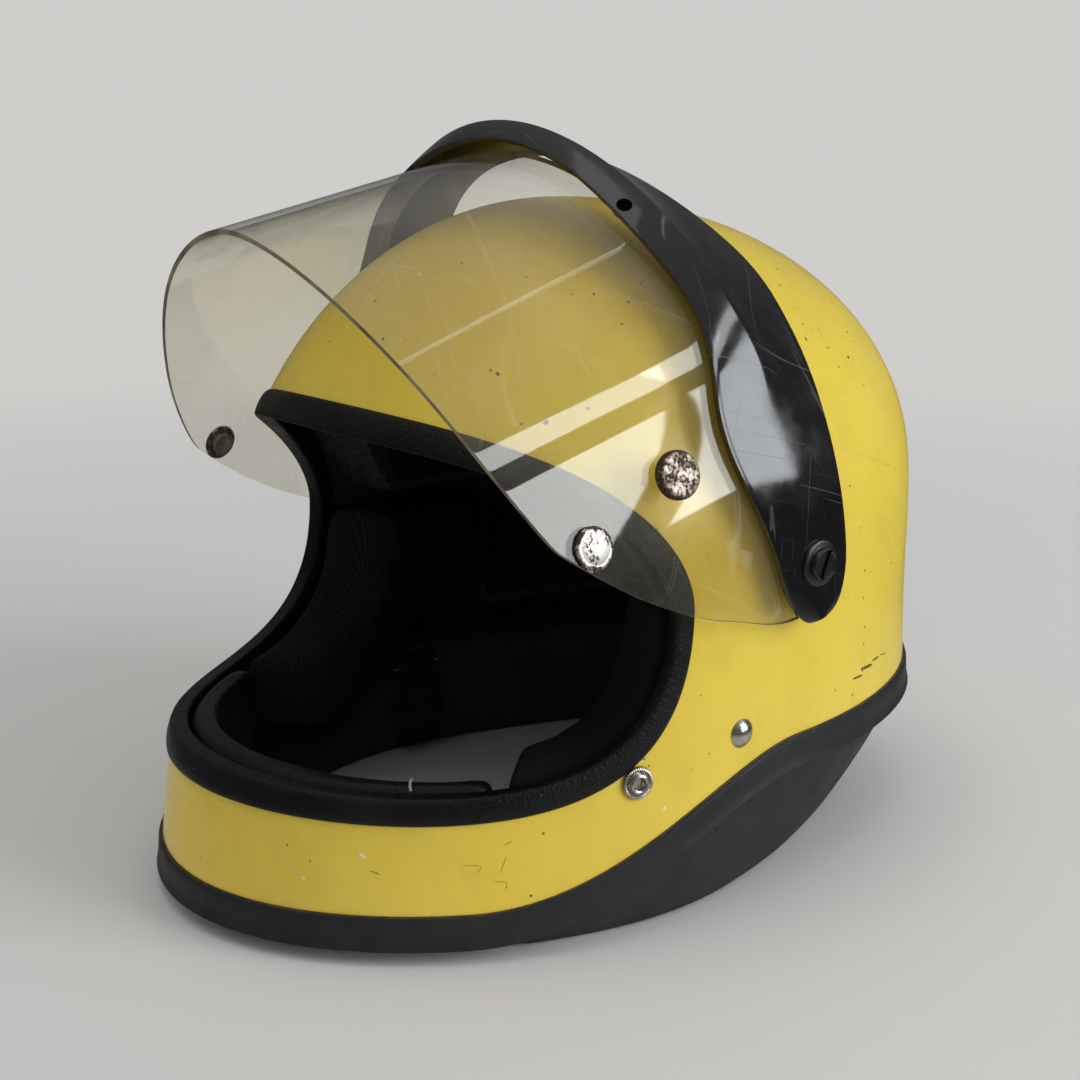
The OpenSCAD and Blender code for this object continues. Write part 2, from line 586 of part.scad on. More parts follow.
module stud_nuts() color("silver") both_sides() on_shell(stud_at[0], stud_at[1])
    translate([0, 0, -shell_wall - stud_stand - stud_nut_h]) difference() {
        cylinder(d = stud_nut_d, h = stud_nut_h, $fn = 6);
        translate([0, 0, -1]) cylinder(d = stud_screw_d + 2 * run_gap, h = stud_nut_h + 2);
    }

// Chin strap: each hanger is riveted inside the shell and holds its strap on a bar
// over the neck roll. Places are counted from the rivet: out of the shell, along it, and up
hanger_x = -shell_wall - hanger_stand;
hanger_top = 9;
hanger_bend = -9.5;
hanger_w = strap_w + 9;
bar = [-roll_t - 7, -26];
module on_side() {
    n = dome_normal(rivet_at[0], rivet_at[1]);
    at_head() translate(dome(rivet_at[0], rivet_at[1], 0)) rotate([0, 0, atan2(n[1], n[0])]) children();
}
// A flat outline [out, up] made into a piece of width w along the shell
module ribbon(w) rotate([90, 0, 0]) linear_extrude(height = w, center = true) children();
module along_y(d, w) rotate([90, 0, 0]) cylinder(d = d, h = w, center = true);
module strap_rivets() color("silver") both_sides() on_side() {
    rotate([0, 90, 0]) {
        translate([0, 0, face_gap / 2]) rotate_extrude() intersection() {
            translate([0, rivet_head_h - rivet_cap_r]) circle(r = rivet_cap_r, $fn = 96);
            square([rivet_d / 2, rivet_head_h]);
        }
        translate([0, 0, hanger_x - hanger_t - 0.1])
            cylinder(d = rivet_shank_d, h = face_gap - hanger_x + hanger_t + 0.5);
        translate([0, 0, hanger_x - hanger_t - rivet_tail_h])
            cylinder(d = rivet_tail_d, h = rivet_tail_h - run_gap);
    }
}
rivet_cap_r = (pow(rivet_d / 2, 2) + pow(rivet_head_h, 2)) / (2 * rivet_head_h);
module strap_hangers() color("silver") both_sides() on_side() {
    difference() {
        ribbon(hanger_w) polygon([
            [hanger_x, hanger_top], [hanger_x, hanger_bend], [bar[0], bar[1] - hanger_t / 2],
            [bar[0], bar[1] + hanger_t / 2], [hanger_x - hanger_t, hanger_bend + hanger_t],
            [hanger_x - hanger_t, hanger_top]]);
        along_x(rivet_shank_d + 2 * run_gap, 4 * hanger_x, 0);
        translate([bar[0] - 10, -strap_w / 2 - 1, bar[1] - 10]) cube([18, strap_w + 2, 20]);
    }
    translate([bar[0], 0, bar[1]]) along_y(wire_d, hanger_w);
}
loop_in = wire_d / 2 + run_gap;
loop_out = loop_in + strap_t;
// A sewn loop of webbing around a wire at [out, up]
module web_loop(at) translate([at[0], 0, at[1]]) ribbon(strap_w) difference() {
    circle(r = loop_out);
    circle(r = loop_in);
}
// A straight run of webbing between two heights
module web(x, from, to) translate([x - strap_t / 2, -strap_w / 2, from]) cube([strap_t, strap_w, to - from]);
// A turn of webbing, open upwards or downwards
module web_turn(x, z, up) translate([x, 0, z]) ribbon(strap_w) difference() {
    circle(r = fold_r + strap_t / 2);
    circle(r = fold_r - strap_t / 2);
    translate([-10, up ? 0 : -20]) square(20);
}
fold_r = 1.7;
ring_upper = [bar[0] - loop_in - strap_t / 2 - 0.4, bar[1] - 11];
ring_lower = [bar[0], bar[1] - 28];
module chin_strap_left() color("black") on_side() {
    web_loop(bar);
    web(bar[0], ring_lower[1] + loop_in + 0.2, bar[1] - loop_in - 0.2);
    web_loop(ring_upper);
    web_loop(ring_lower);
}
fold_low = bar[1] - 37;
fold_high = bar[1] - 9;
fold_end = bar[1] - 33;
module chin_strap_right() color("black") mirror([1, 0, 0]) on_side() {
    web_loop(bar);
    web(bar[0], fold_low, bar[1] - loop_in - 0.2);
    web_turn(bar[0] - fold_r, fold_low, true);
    web(bar[0] - 2 * fold_r, fold_low, fold_high);
    web_turn(bar[0] - 3 * fold_r, fold_high, false);
    web(bar[0] - 4 * fold_r, fold_end, fold_high);
}
keeper_z = bar[1] - 24;
keeper_h = 9;
keeper_t = 1;
keeper_room = [4 * fold_r + strap_t + 2 * face_gap, strap_w + 2 * face_gap, keeper_h];
module strap_keeper() color("black") mirror([1, 0, 0]) on_side()
    translate([bar[0] - 2 * fold_r, 0, keeper_z]) difference() {
        cube(keeper_room + [2 * keeper_t, 2 * keeper_t, 0], center = true);
        cube(keeper_room + [0, 0, 2], center = true);
    }
module d_ring(at) color("silver") on_side() translate([at[0], 0, at[1]]) {
    along_y(wire_d, 2 * ring_r);
    rotate([90, 0, 90]) rotate([0, 0, 180])
        rotate_extrude(angle = 180) translate([ring_r, 0]) circle(d = wire_d);
    for (y = [-ring_r, ring_r]) translate([0, y, 0]) sphere(d = wire_d);
}
module d_ring_lower() d_ring(ring_lower);
module d_ring_upper() d_ring(ring_upper);

outer_shell();
energy_liner();
comfort_liner();
chin_bar_liner();
chin_pad();
cheek_pad_left();
cheek_pad_right();
neck_roll();
eye_port_trim();
base_trim();
visor_sheet();
visor_frame();
pivot_screws();
pivot_spacers();
pivot_nuts();
snap_caps();
snap_sockets();
lift_knobs();
snap_studs();
stud_nuts();
strap_rivets();
strap_hangers();
chin_strap_left();
chin_strap_right();
strap_keeper();
d_ring_lower();
d_ring_upper();
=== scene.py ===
"""A full-face motorcycle helmet with its flip-up visor raised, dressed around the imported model."""

import json
import math

import bpy
from mathutils import Matrix, Vector


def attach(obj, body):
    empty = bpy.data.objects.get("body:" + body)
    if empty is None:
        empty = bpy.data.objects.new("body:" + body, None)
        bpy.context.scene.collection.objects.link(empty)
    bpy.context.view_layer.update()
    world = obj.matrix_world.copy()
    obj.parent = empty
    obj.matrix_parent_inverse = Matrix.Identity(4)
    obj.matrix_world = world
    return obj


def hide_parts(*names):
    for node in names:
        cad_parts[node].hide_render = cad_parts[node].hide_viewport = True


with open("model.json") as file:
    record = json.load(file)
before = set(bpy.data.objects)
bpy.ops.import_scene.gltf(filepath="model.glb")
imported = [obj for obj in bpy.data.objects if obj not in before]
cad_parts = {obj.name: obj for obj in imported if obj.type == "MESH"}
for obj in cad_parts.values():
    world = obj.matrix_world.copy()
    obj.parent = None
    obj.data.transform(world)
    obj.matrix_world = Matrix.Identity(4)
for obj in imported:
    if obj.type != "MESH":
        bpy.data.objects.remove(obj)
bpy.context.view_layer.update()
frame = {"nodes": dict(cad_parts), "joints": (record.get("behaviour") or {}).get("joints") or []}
nodes = frame["nodes"]

# Outer shell. The real one is a single moulding of fibre-filled plastic with a glossy yellow coat,
# scuffed and speckled with age. Its chin bar runs under the eye port and carries the snap studs.
MM = 0.001
half_width = 124.0
crown_z = 269.0
brow_reach = 149.0
chin_reach = 180.0
back_reach = 173.0
chin_flare = 6.0
shell_wall = 4.0
widest_side_z = 124.0
widest_brow_z = 95.0
widest_back_z = 154.5
side_power = 2.17
brow_power = 1.92
back_power = 1.96
plan_power = 2.19
chin_plan_power = 2.0
side_flare = 3.45
back_flare = 13.3
chin_start = 0.6
flare_start = 0.45
flare_run = 0.5
pivot_back = 10.5
pivot_z = 138.0
hinge = [joint for joint in frame["joints"] if joint["name"] == "visor_hinge"][0]
head_y = hinge["pos_m"][1] / MM - pivot_back


def mix(a, b, k):
    return a + (b - a) * k


def ease(x):
    x = min(1.0, max(0.0, x))
    return x * x * (3 - 2 * x)


def bulge(z, widest, power, top):
    share = min(1.0, max(0.0, (z - widest) / (top - widest)))
    return (1 - share**power) ** (1 / power)


def dome(turn, z, out=0.0):
    """A point on the shell at a turn from the front and a height, moved out of its skin, in metres."""
    low = max(0.0, (widest_side_z - z) / widest_side_z)
    chin = ease(low / chin_start)
    top = crown_z + out
    side = (half_width + out) * bulge(z, widest_side_z, side_power, top) + side_flare * low**2
    if math.cos(math.radians(turn)) > 0:
        reach = (brow_reach + out) * bulge(z, widest_brow_z, brow_power, top)
        reach += (chin_reach - brow_reach) * chin + chin_flare * ease((low - flare_start) / flare_run)
        power = mix(plan_power, chin_plan_power, chin)
    else:
        reach = (back_reach + out) * bulge(z, widest_back_z, back_power, top) + back_flare * low**2
        power = plan_power
    across = abs(math.sin(math.radians(turn))) / max(side, 1e-6)
    along = abs(math.cos(math.radians(turn))) / max(reach, 1e-6)
    radius = (across**power + along**power) ** (-1 / power)
    spot = Vector((math.sin(math.radians(turn)), -math.cos(math.radians(turn)), 0)) * radius
    return (spot + Vector((0, head_y, z))) * MM


def dome_normal(turn, z):
    across = dome(turn + 1, z) - dome(turn - 1, z)
    up = dome(turn, z + 1) - dome(turn, z - 1)
    return across.cross(up).normalized()


# The eye port's edge and the base edge, as heights over the table at each turn
port_angle = 71.1
port_mid_z = 142.0
port_mid_drop = 17.3
port_rise = 53.4
port_fall = 87.6
port_lip = 9.0
port_radius = 150.0
port_top_powers = (3.28, 1.99)
port_bottom_powers = (3.72, 2.16)
base_front_z = 18.7
base_side_z = 64.4
base_back_z = 67.1
base_climb = (36.7, 98.0)
base_grip = 9.0


def port_turn(grow):
    return port_angle + math.degrees(grow / port_radius)


def port_z(turn, grow, upper):
    """Height of the port's upper or lower edge, grown past its trim's outside."""
    share = min(1.0, abs(turn) / port_turn(grow))
    middle = port_mid_z - port_mid_drop * share**2
    inner, outer = port_top_powers if upper else port_bottom_powers
    reach = (port_rise if upper else -port_fall) + (grow if upper else -grow)
    return middle + reach * (1 - share**inner) ** (1 / outer)


def base_z(turn):
    away = abs(turn) if abs(turn) <= 180 else 360 - abs(turn)
    climb = ease((away - base_climb[0]) / (base_climb[1] - base_climb[0]))
    nape = ease((away - base_climb[1]) / (180 - base_climb[1]))
    return base_front_z + (base_side_z - base_front_z) * climb + (base_back_z - base_side_z) * nape


def only(piece):
    """Makes one piece the selected and active one."""
    bpy.ops.object.select_all(action="DESELECT")
    piece.select_set(True)
    bpy.context.view_layer.objects.active = piece


def edit(piece, *steps):
    """Runs mesh operators over all of a piece; each step is an operator and its settings."""
    only(piece)
    bpy.ops.object.mode_set(mode="EDIT")
    bpy.ops.mesh.select_all(action="SELECT")
    for operator, settings in steps:
        operator(**settings)
    bpy.ops.object.mode_set(mode="OBJECT")


def merged(piece, gap):
    """Merges the corners of a piece that lie within a gap."""
    edit(piece, (bpy.ops.mesh.remove_doubles, {"threshold": gap * MM}))


def apply_modifier(piece, kind, **settings):
    only(piece)
    made = piece.modifiers.new(kind.lower(), kind)
    for key, value in settings.items():
        setattr(made, key, value)
    bpy.ops.object.modifier_apply(modifier=made.name)


def laid_grid(name, columns, rows, place, finishes=1):
    """A grid whose corners are laid by place(u, v), with u along the columns and v along the rows."""
    bpy.ops.object.select_all(action="DESELECT")
    bpy.ops.mesh.primitive_grid_add(x_subdivisions=columns, y_subdivisions=rows, size=1.0)
    piece = bpy.context.object
    piece.name = name
    for vertex in piece.data.vertices:
        vertex.co = place(vertex.co.x + 0.5, vertex.co.y + 0.5)
    for _ in range(finishes):
        piece.data.materials.append(None)
    return piece


def face_away(piece, middle):
    """Turns all faces of a sheet so that they point away from a middle point."""
    way = sum(face.normal.dot(face.center - middle) * face.area for face in piece.data.polygons)
    if way < 0:
        edit(piece, (bpy.ops.mesh.flip_normals, {}))


def joined(name, pieces):
    only(pieces[0])
    for piece in pieces:
        piece.select_set(True)
    if len(pieces) > 1:
        bpy.ops.object.join()
    pieces[0].name = name
    return pieces[0]


def smooth(piece, angle=35):
    only(piece)
    bpy.ops.object.shade_smooth_by_angle(angle=math.radians(angle))


def bored(piece, holes):
    """Cuts round holes through a piece; each hole is its middle, direction, diameter and length."""
    cutters = []
    for middle, way, diameter, length in holes:
        bpy.ops.mesh.primitive_cylinder_add(
            vertices=32, radius=diameter / 2 * MM, depth=length * MM,
            location=middle, rotation=way.to_track_quat("Z", "Y").to_euler())
        cutters.append(bpy.context.object)
    cutter = joined("cutter", cutters)
    apply_modifier(piece, "BOOLEAN", operation="DIFFERENCE", solver="EXACT", object=cutter)
    bpy.data.objects.remove(cutter)


def both_sides(spot):
    return [spot, Vector((-spot.x, spot.y, spot.z))]


shell_columns = 240
port_columns_share = 0.5
head_middle = Vector((0, head_y, 130)) * MM


def ring_turn(u):
    """Columns run across the port first, closer together at its sides, and then round the back."""
    half = port_turn(-port_lip)
    if u <= port_columns_share:
        return half * math.sin(math.pi * (u / port_columns_share - 0.5))
    return half + (360 - 2 * half) * (u - port_columns_share) / (1 - port_columns_share)


def rising(turn, edge, v, out=0.0):
    """A point on the way from an edge height up to the crown."""
    span = crown_z + out - widest_side_z
    start = math.asin((edge - widest_side_z) / span)
    return dome(turn, widest_side_z + span * math.sin(mix(start, math.pi / 2, v)), out)


def shell_upper(u, v):
    turn = ring_turn(u)
    return rising(turn, port_z(turn, -port_lip, True), v)


def shell_lower(u, v):
    turn = ring_turn(u)
    return dome(turn, mix(base_z(turn) - base_grip, port_z(turn, -port_lip, False), v))


stud_at = (61.0, 62.2)
stud_screw = 3.1
rivet_at = (82.6, 72.3)
rivet_shank = 5.1
pivot_shank = 5.1
shell = joined("shell_moulding", [
    laid_grid("shell_upper", shell_columns, 40, shell_upper, 2),
    laid_grid("shell_lower", shell_columns, 24, shell_lower, 2)])
merged(shell, 0.005)
face_away(shell, head_middle)
apply_modifier(shell, "SOLIDIFY", thickness=shell_wall * MM, offset=-1, material_offset=1)
pivot_turn = math.degrees(math.acos(-pivot_back / half_width))
bored(shell, [
    (spot, Vector((spot.x / abs(spot.x) * way.x, way.y, way.z)), size, 6 * shell_wall)
    for start, way, size in (
        (dome(pivot_turn, pivot_z), Vector((1, 0, 0)), pivot_shank),
        (dome(*stud_at), dome_normal(*stud_at), stud_screw),
        (dome(*rivet_at), dome_normal(*rivet_at), rivet_shank))
    for spot in both_sides(start)])
smooth(shell)


def add(tree, kind, inputs=None, **settings):
    """Adds a shader node; its inputs are plain values, or the sockets that feed them."""
    made = tree.nodes.new(kind)
    for key, value in settings.items():
        setattr(made, key, value)
    for key, value in (inputs or {}).items():
        if isinstance(value, bpy.types.NodeSocket):
            tree.links.new(value, made.inputs[key])
        else:
            made.inputs[key].default_value = value
    return made


def colour_mix(tree, factor, below, above):
    """One colour over another by a factor; each colour is a plain value or a socket."""
    return add(tree, "ShaderNodeMix", {0: factor, 6: below, 7: above}, data_type="RGBA").outputs[2]


def math_node(tree, operation, a, b):
    return add(tree, "ShaderNodeMath", {0: a, 1: b}, operation=operation).outputs[0]


def stretch(tree, value, start, end, low=0.0, high=1.0):
    """Maps a value from one range onto another."""
    return add(tree, "ShaderNodeMapRange", {
        "Value": value, "From Min": start, "From Max": end, "To Min": low, "To Max": high}).outputs[0]


def coordinates(tree, kind="Object"):
    return add(tree, "ShaderNodeTexCoord").outputs[kind]


def split(tree, vector):
    """The three parts of a vector, by their names X, Y and Z."""
    return add(tree, "ShaderNodeSeparateXYZ", {0: vector}).outputs


def noise(tree, scale, detail=3.0, rough=0.5, vector=None):
    inputs = {"Scale": scale, "Detail": detail, "Roughness": rough}
    inputs["Vector"] = vector or coordinates(tree)
    return add(tree, "ShaderNodeTexNoise", inputs).outputs[0]


def effect_group(name, inputs, output):
    """A node group with float inputs and one float output; returns its tree and both ends."""
    tree = bpy.data.node_groups.new(name, "ShaderNodeTree")
    for label, value in inputs.items():
        socket = tree.interface.new_socket(name=label, in_out="INPUT", socket_type="NodeSocketFloat")
        socket.default_value = value
    tree.interface.new_socket(name=output, in_out="OUTPUT", socket_type="NodeSocketFloat")
    start = tree.nodes.new("NodeGroupInput")
    end = tree.nodes.new("NodeGroupOutput")
    return tree, start.outputs, end.inputs


def effect(tree, group, **inputs):
    """Places a node group in a material and returns what it puts out."""
    made = add(tree, "ShaderNodeGroup", node_tree=group)
    for label, value in inputs.items():
        made.inputs[label].default_value = value
    return made.outputs[0]


def coated(name, colour, sockets=None):
    """A material with a Principled BSDF that takes plain values, and its node tree."""
    made = bpy.data.materials.new(name)
    made.use_nodes = True
    shader = made.node_tree.nodes["Principled BSDF"]
    shader.inputs["Base Color"].default_value = (*colour, 1)
    for label, value in (sockets or {}).items():
        shader.inputs[label].default_value = value
    made.diffuse_color = (*colour, 1)
    return made, made.node_tree, shader


def feed(tree, shader, label, socket):
    tree.links.new(socket, shader.inputs[label])


def raise_by(tree, shader, height, distance, strength=1.0):
    """Raises the surface by a height mask, through a bump of a real depth in metres."""
    bump = add(tree, "ShaderNodeBump", {"Height": height, "Distance": distance, "Strength": strength})
    tree.links.new(bump.outputs[0], shader.inputs["Normal"])


def wear(piece, *finishes):
    while len(piece.data.materials) < len(finishes):
        piece.data.materials.append(None)
    for number, finish in enumerate(finishes):
        piece.data.materials[number] = finish


# Specks are small round spots in some of the cells of a scattered pattern
specks, given, out = effect_group("specks", {"Scale": 100.0, "Size": 0.2, "Share": 0.2}, "Mask")
where = coordinates(specks)
ragged = noise(specks, 420.0, 2.0, 0.6, where)
cells = add(specks, "ShaderNodeTexVoronoi", {"Vector": where, "Scale": given["Scale"]})
ragged = stretch(specks, ragged, 0.3, 0.7, -0.06, 0.06)
reach = math_node(specks, "ADD", cells.outputs["Distance"], ragged)
near = math_node(specks, "LESS_THAN", reach, given["Size"])
chosen = math_node(specks, "LESS_THAN", add(
    specks, "ShaderNodeSeparateColor", {0: cells.outputs["Color"]}).outputs[0], given["Share"])
specks.links.new(math_node(specks, "MULTIPLY", near, chosen), out["Mask"])

# Scratches are the contour lines of a noise drawn out in three directions over a piece's own map,
# which has a length and breadth in metres; another noise breaks them up
scratches, given, out = effect_group("scratches", {
    "Length": 0.6, "Breadth": 0.2, "Scale": 150.0, "Width": 0.01, "Share": 0.4}, "Mask")
flat = split(scratches, coordinates(scratches, "UV"))
where = add(scratches, "ShaderNodeCombineXYZ", {
    "X": math_node(scratches, "MULTIPLY", flat["X"], given["Length"]),
    "Y": math_node(scratches, "MULTIPLY", flat["Y"], given["Breadth"])}).outputs[0]
drawn_out = 30.0
lines = 0.0
for angle in (0.25, -0.5, 1.15):
    laid = add(scratches, "ShaderNodeMapping", {
        "Vector": where, "Rotation": (0, 0, angle), "Scale": (drawn_out, 1.0, 1.0)},
        vector_type="TEXTURE").outputs[0]
    drawn = noise(scratches, given["Scale"], 0.0, 0.5, laid)
    aside = math_node(scratches, "ABSOLUTE", math_node(scratches, "SUBTRACT", drawn, 0.5), 0.0)
    thin = math_node(scratches, "LESS_THAN", aside, given["Width"])
    more = math_node(scratches, "MULTIPLY", given["Scale"], 1.7)
    kept = math_node(scratches, "LESS_THAN", noise(scratches, more, 0.0, 0.5, laid), given["Share"])
    lines = math_node(scratches, "MAXIMUM", lines, math_node(scratches, "MULTIPLY", thin, kept))
scratches.links.new(lines, out["Mask"])

paint, tree, shader = coated("yellow_gloss_coat", (0.81, 0.61, 0.062), {
    "Coat Weight": 0.2, "Coat Roughness": 0.07, "IOR": 1.5})
faded = stretch(tree, noise(tree, 7.0, 4.0, 0.6), 0.35, 0.7)
yellow = colour_mix(tree, faded, (0.83, 0.635, 0.07, 1), (0.75, 0.54, 0.05, 1))
grubby = stretch(tree, noise(tree, 34.0, 6.0, 0.65), 0.52, 0.78, 0.0, 0.3)
yellow = colour_mix(tree, grubby, yellow, (0.5, 0.35, 0.04, 1))
for scale, size, share, colour in (
        (95.0, 0.07, 0.25, (0.12, 0.08, 0.025, 1)),
        (230.0, 0.12, 0.1, (0.2, 0.13, 0.03, 1)),
        (60.0, 0.04, 0.2, (0.85, 0.8, 0.66, 1))):
    spots = effect(tree, specks, Scale=scale, Size=size, Share=share)
    yellow = colour_mix(tree, spots, yellow, colour)
lines = effect(tree, scratches, Length=0.8, Breadth=0.3, Scale=70.0, Width=0.006, Share=0.3)
yellow = colour_mix(tree, math_node(tree, "MULTIPLY", lines, 0.3), yellow, (0.45, 0.32, 0.06, 1))
feed(tree, shader, "Base Color", yellow)
feed(tree, shader, "Roughness", stretch(tree, noise(tree, 22.0, 5.0, 0.6), 0.3, 0.75, 0.2, 0.42))
raise_by(tree, shader, noise(tree, 260.0, 2.0), 0.00006, 0.35)
inside, tree, shader = coated("dark_inner_coat", (0.02, 0.02, 0.021), {"Roughness": 0.8})
feed(tree, shader, "Base Color", colour_mix(
    tree, noise(tree, 45.0, 5.0), (0.012, 0.012, 0.013, 1), (0.035, 0.034, 0.033, 1)))
raise_by(tree, shader, noise(tree, 240.0), 0.0004)
wear(shell, paint, inside)
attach(shell, "helmet")
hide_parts("outer_shell")

# Knocks in the coat: dark scrapes low on the left side, faint scuffs along the chin and a few pale
# chips. Each stroke is a turn and height at either end, and its width.
scrapes = [
    ((114.9, 77.7), (118.8, 77.2), 1.0), ((117.8, 80.2), (122.8, 79.3), 1.4),
    ((122.5, 80.8), (125.6, 80.8), 0.9), ((126.1, 81.1), (129.0, 79.8), 0.5),
    ((114.6, 70.6), (115.5, 71.0), 0.6), ((44.6, 24.9), (44.8, 24.0), 0.9),
    ((208.0, 120.0), (214.0, 131.0), 0.5), ((228.0, 92.0), (233.0, 95.0), 0.8)]
scuffs = [
    ((35.6, 38.1), (38.1, 37.5), 0.3), ((38.1, 37.5), (37.6, 34.9), 0.25),
    ((41.3, 40.8), (40.5, 34.0), 0.3), ((42.0, 46.1), (40.8, 44.4), 0.35),
    ((39.5, 31.4), (41.6, 30.5), 0.25), ((41.4, 30.6), (41.3, 27.6), 0.25),
    ((-36.0, 38.0), (-33.2, 40.4), 0.4), ((24.6, 36.2), (25.8, 34.9), 0.5)]
chips = [
    ((23.2, 42.8), (24.0, 40.6), 0.9), ((16.5, 31.9), (17.0, 30.1), 0.8),
    ((150.0, 84.0), (151.2, 82.8), 1.1)]
arc_per_degree = 2.6
knock_proud = 0.05


def knock(start, end, width):
    """A ragged stroke on the coat from one turn and height to another."""
    way = Vector(((end[0] - start[0]) * arc_per_degree, end[1] - start[1])).normalized()

    def place(u, v):
        full = math.sqrt(math.sin(math.pi * min(1.0, max(0.0, u))))
        ragged = 1 + 0.35 * math.sin(23 * u + start[0])
        aside = (v - 0.5) * width * full * ragged
        turn = mix(start[0], end[0], u) - way.y * aside / arc_per_degree
        return dome(turn, mix(start[1], end[1], u) + way.x * aside, knock_proud)

    piece = laid_grid("knock", 14, 2, place)
    face_away(piece, head_middle)
    return piece


for name, strokes, colour, worn in (
        ("coat_scrapes", scrapes, (0.06, 0.045, 0.02), (0.14, 0.1, 0.035)),
        ("coat_scuffs", scuffs, (0.2, 0.14, 0.025), (0.42, 0.31, 0.05)),
        ("coat_chips", chips, (0.7, 0.66, 0.55), (0.85, 0.82, 0.72))):
    knocks = joined(name, [knock(*stroke) for stroke in strokes])
    bare, tree, shader = coated(name + "_bare", colour, {"Roughness": 0.75})
    feed(tree, shader, "Base Color", colour_mix(tree, noise(tree, 900.0), (*colour, 1), (*worn, 1)))
    wear(knocks, bare)
    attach(knocks, "helmet")

# Foam cores. A moulded bead-foam liner fills the shell from brow to nape, with a thin core in the
# chin bar. They are glued in and stay dark under the cloth, with only their edges on show.
foam, tree, shader = coated("moulded_bead_foam", (0.022, 0.022, 0.024), {"Roughness": 0.92})
beads = add(tree, "ShaderNodeTexVoronoi", {
    "Vector": coordinates(tree), "Scale": 330.0}).outputs["Distance"]
feed(tree, shader, "Base Color", colour_mix(
    tree, stretch(tree, beads, 0.2, 0.8), (0.03, 0.03, 0.033, 1), (0.01, 0.01, 0.011, 1)))
raise_by(tree, shader, stretch(tree, beads, 0.0, 0.8, 1.0, 0.0), 0.0006)


def dress(name, finish, angle=32):
    """Gives a CAD node its finish, and smooth shading across its facets by live modifiers."""
    node = nodes[name]
    only(node)
    bpy.ops.mesh.customdata_custom_splitnormals_clear()
    node.data.polygons.foreach_set("use_smooth", [True] * len(node.data.polygons))
    node.modifiers.new("weld", "WELD").merge_threshold = 0.001 * MM
    node.modifiers.new("edges", "EDGE_SPLIT").split_angle = math.radians(angle)
    wear(node, finish)


for name in ("energy_liner", "chin_bar_liner"):
    dress(name, foam)

# Comfort liner. Black quilted cloth over soft foam lines the crown, sewn in three long seams from
# brow to nape and pressed into the foam. It is filled like a cushion, so it swells between seams.
liner_side_turn = 109.0
liner_columns = 150
liner_front_share = 0.6
liner_out = -30.4
liner_thick = 7.2
liner_brow_gap = 3.0
liner_brow_low = 130.7
liner_rise = 4.4
liner_back_lift = 1.0
seam_half_width = 5.0
seam_depth = 2.6
seam_places = (-52.0, 0.0, 52.0)


def liner_edge(turn):
    return liner_rise + max(liner_brow_low, port_z(turn, liner_brow_gap, True))


def liner_upper(u, v):
    if u <= liner_front_share:
        turn = mix(-liner_side_turn, liner_side_turn, u / liner_front_share)
    else:
        share = (u - liner_front_share) / (1 - liner_front_share)
        turn = mix(liner_side_turn, 360 - liner_side_turn, share)
    return rising(turn, liner_edge(turn), v, liner_out)


def liner_lower(u, v):
    turn = mix(liner_side_turn, 360 - liner_side_turn, u)
    return dome(turn, mix(base_z(turn) + liner_rise + liner_back_lift, liner_edge(turn), v), liner_out)


def swell(piece, pressure, cap):
    """Fills a cushion as cloth under pressure from inside, with each point held within a cap."""
    only(piece)
    starts = [vertex.co.copy() for vertex in piece.data.vertices]
    cloth = piece.modifiers.new("fill", "CLOTH")
    cloth.settings.use_pressure = True
    cloth.settings.uniform_pressure_force = pressure
    cloth.settings.effector_weights.gravity = 0
    for step in range(1, 21):
        bpy.context.scene.frame_set(step)
    bpy.ops.object.modifier_apply(modifier="fill")
    bpy.context.scene.frame_set(1)
    for vertex, start in zip(piece.data.vertices, starts):
        moved = vertex.co - start
        if moved.length > cap * MM:
            vertex.co = start + moved.normalized() * cap * MM
    apply_modifier(piece, "SMOOTH", factor=0.5, iterations=3)
    apply_modifier(piece, "SUBSURF", levels=1, render_levels=1)
    smooth(piece, 60)


liner = joined("comfort_liner_quilt", [
    laid_grid("liner_upper", liner_columns, 30, liner_upper),
    laid_grid("liner_lower", round(liner_columns * (1 - liner_front_share)), 12, liner_lower)])
merged(liner, 0.005)
face_away(liner, head_middle)
apply_modifier(liner, "SOLIDIFY", thickness=liner_thick * MM, offset=-1)
swell(liner, pressure=4.0, cap=0.7)
normals = [vertex.normal.copy() for vertex in liner.data.vertices]
for vertex, normal in zip(liner.data.vertices, normals):
    inward = (head_middle - vertex.co).normalized()
    if normal.dot(inward) > 0.3:
        asides = [(vertex.co.x / MM - place) / seam_half_width for place in seam_places]
        near = max(math.exp(-(aside**2)) for aside in asides)
        vertex.co -= inward * seam_depth * MM * near

# A slanting weave that follows each piece's own map, counted in ribs along and around it
weave, given, out = effect_group("weave", {"Along": 80.0, "Around": 80.0, "Cross": 0.4}, "Height")
flat = split(weave, coordinates(weave, "UV"))
along = math_node(weave, "MULTIPLY", flat["X"], given["Along"])
about = math_node(weave, "MULTIPLY", flat["Y"], given["Around"])
ribs = []
for slant in ("ADD", "SUBTRACT"):
    swing = math_node(weave, "MULTIPLY", math_node(weave, slant, along, about), 2 * math.pi)
    ribs.append(stretch(weave, math_node(weave, "SINE", swing, 0.0), -1.0, 1.0))
weave.links.new(math_node(
    weave, "ADD", ribs[0], math_node(weave, "MULTIPLY", ribs[1], given["Cross"])), out["Height"])
rib_depth = 0.0003


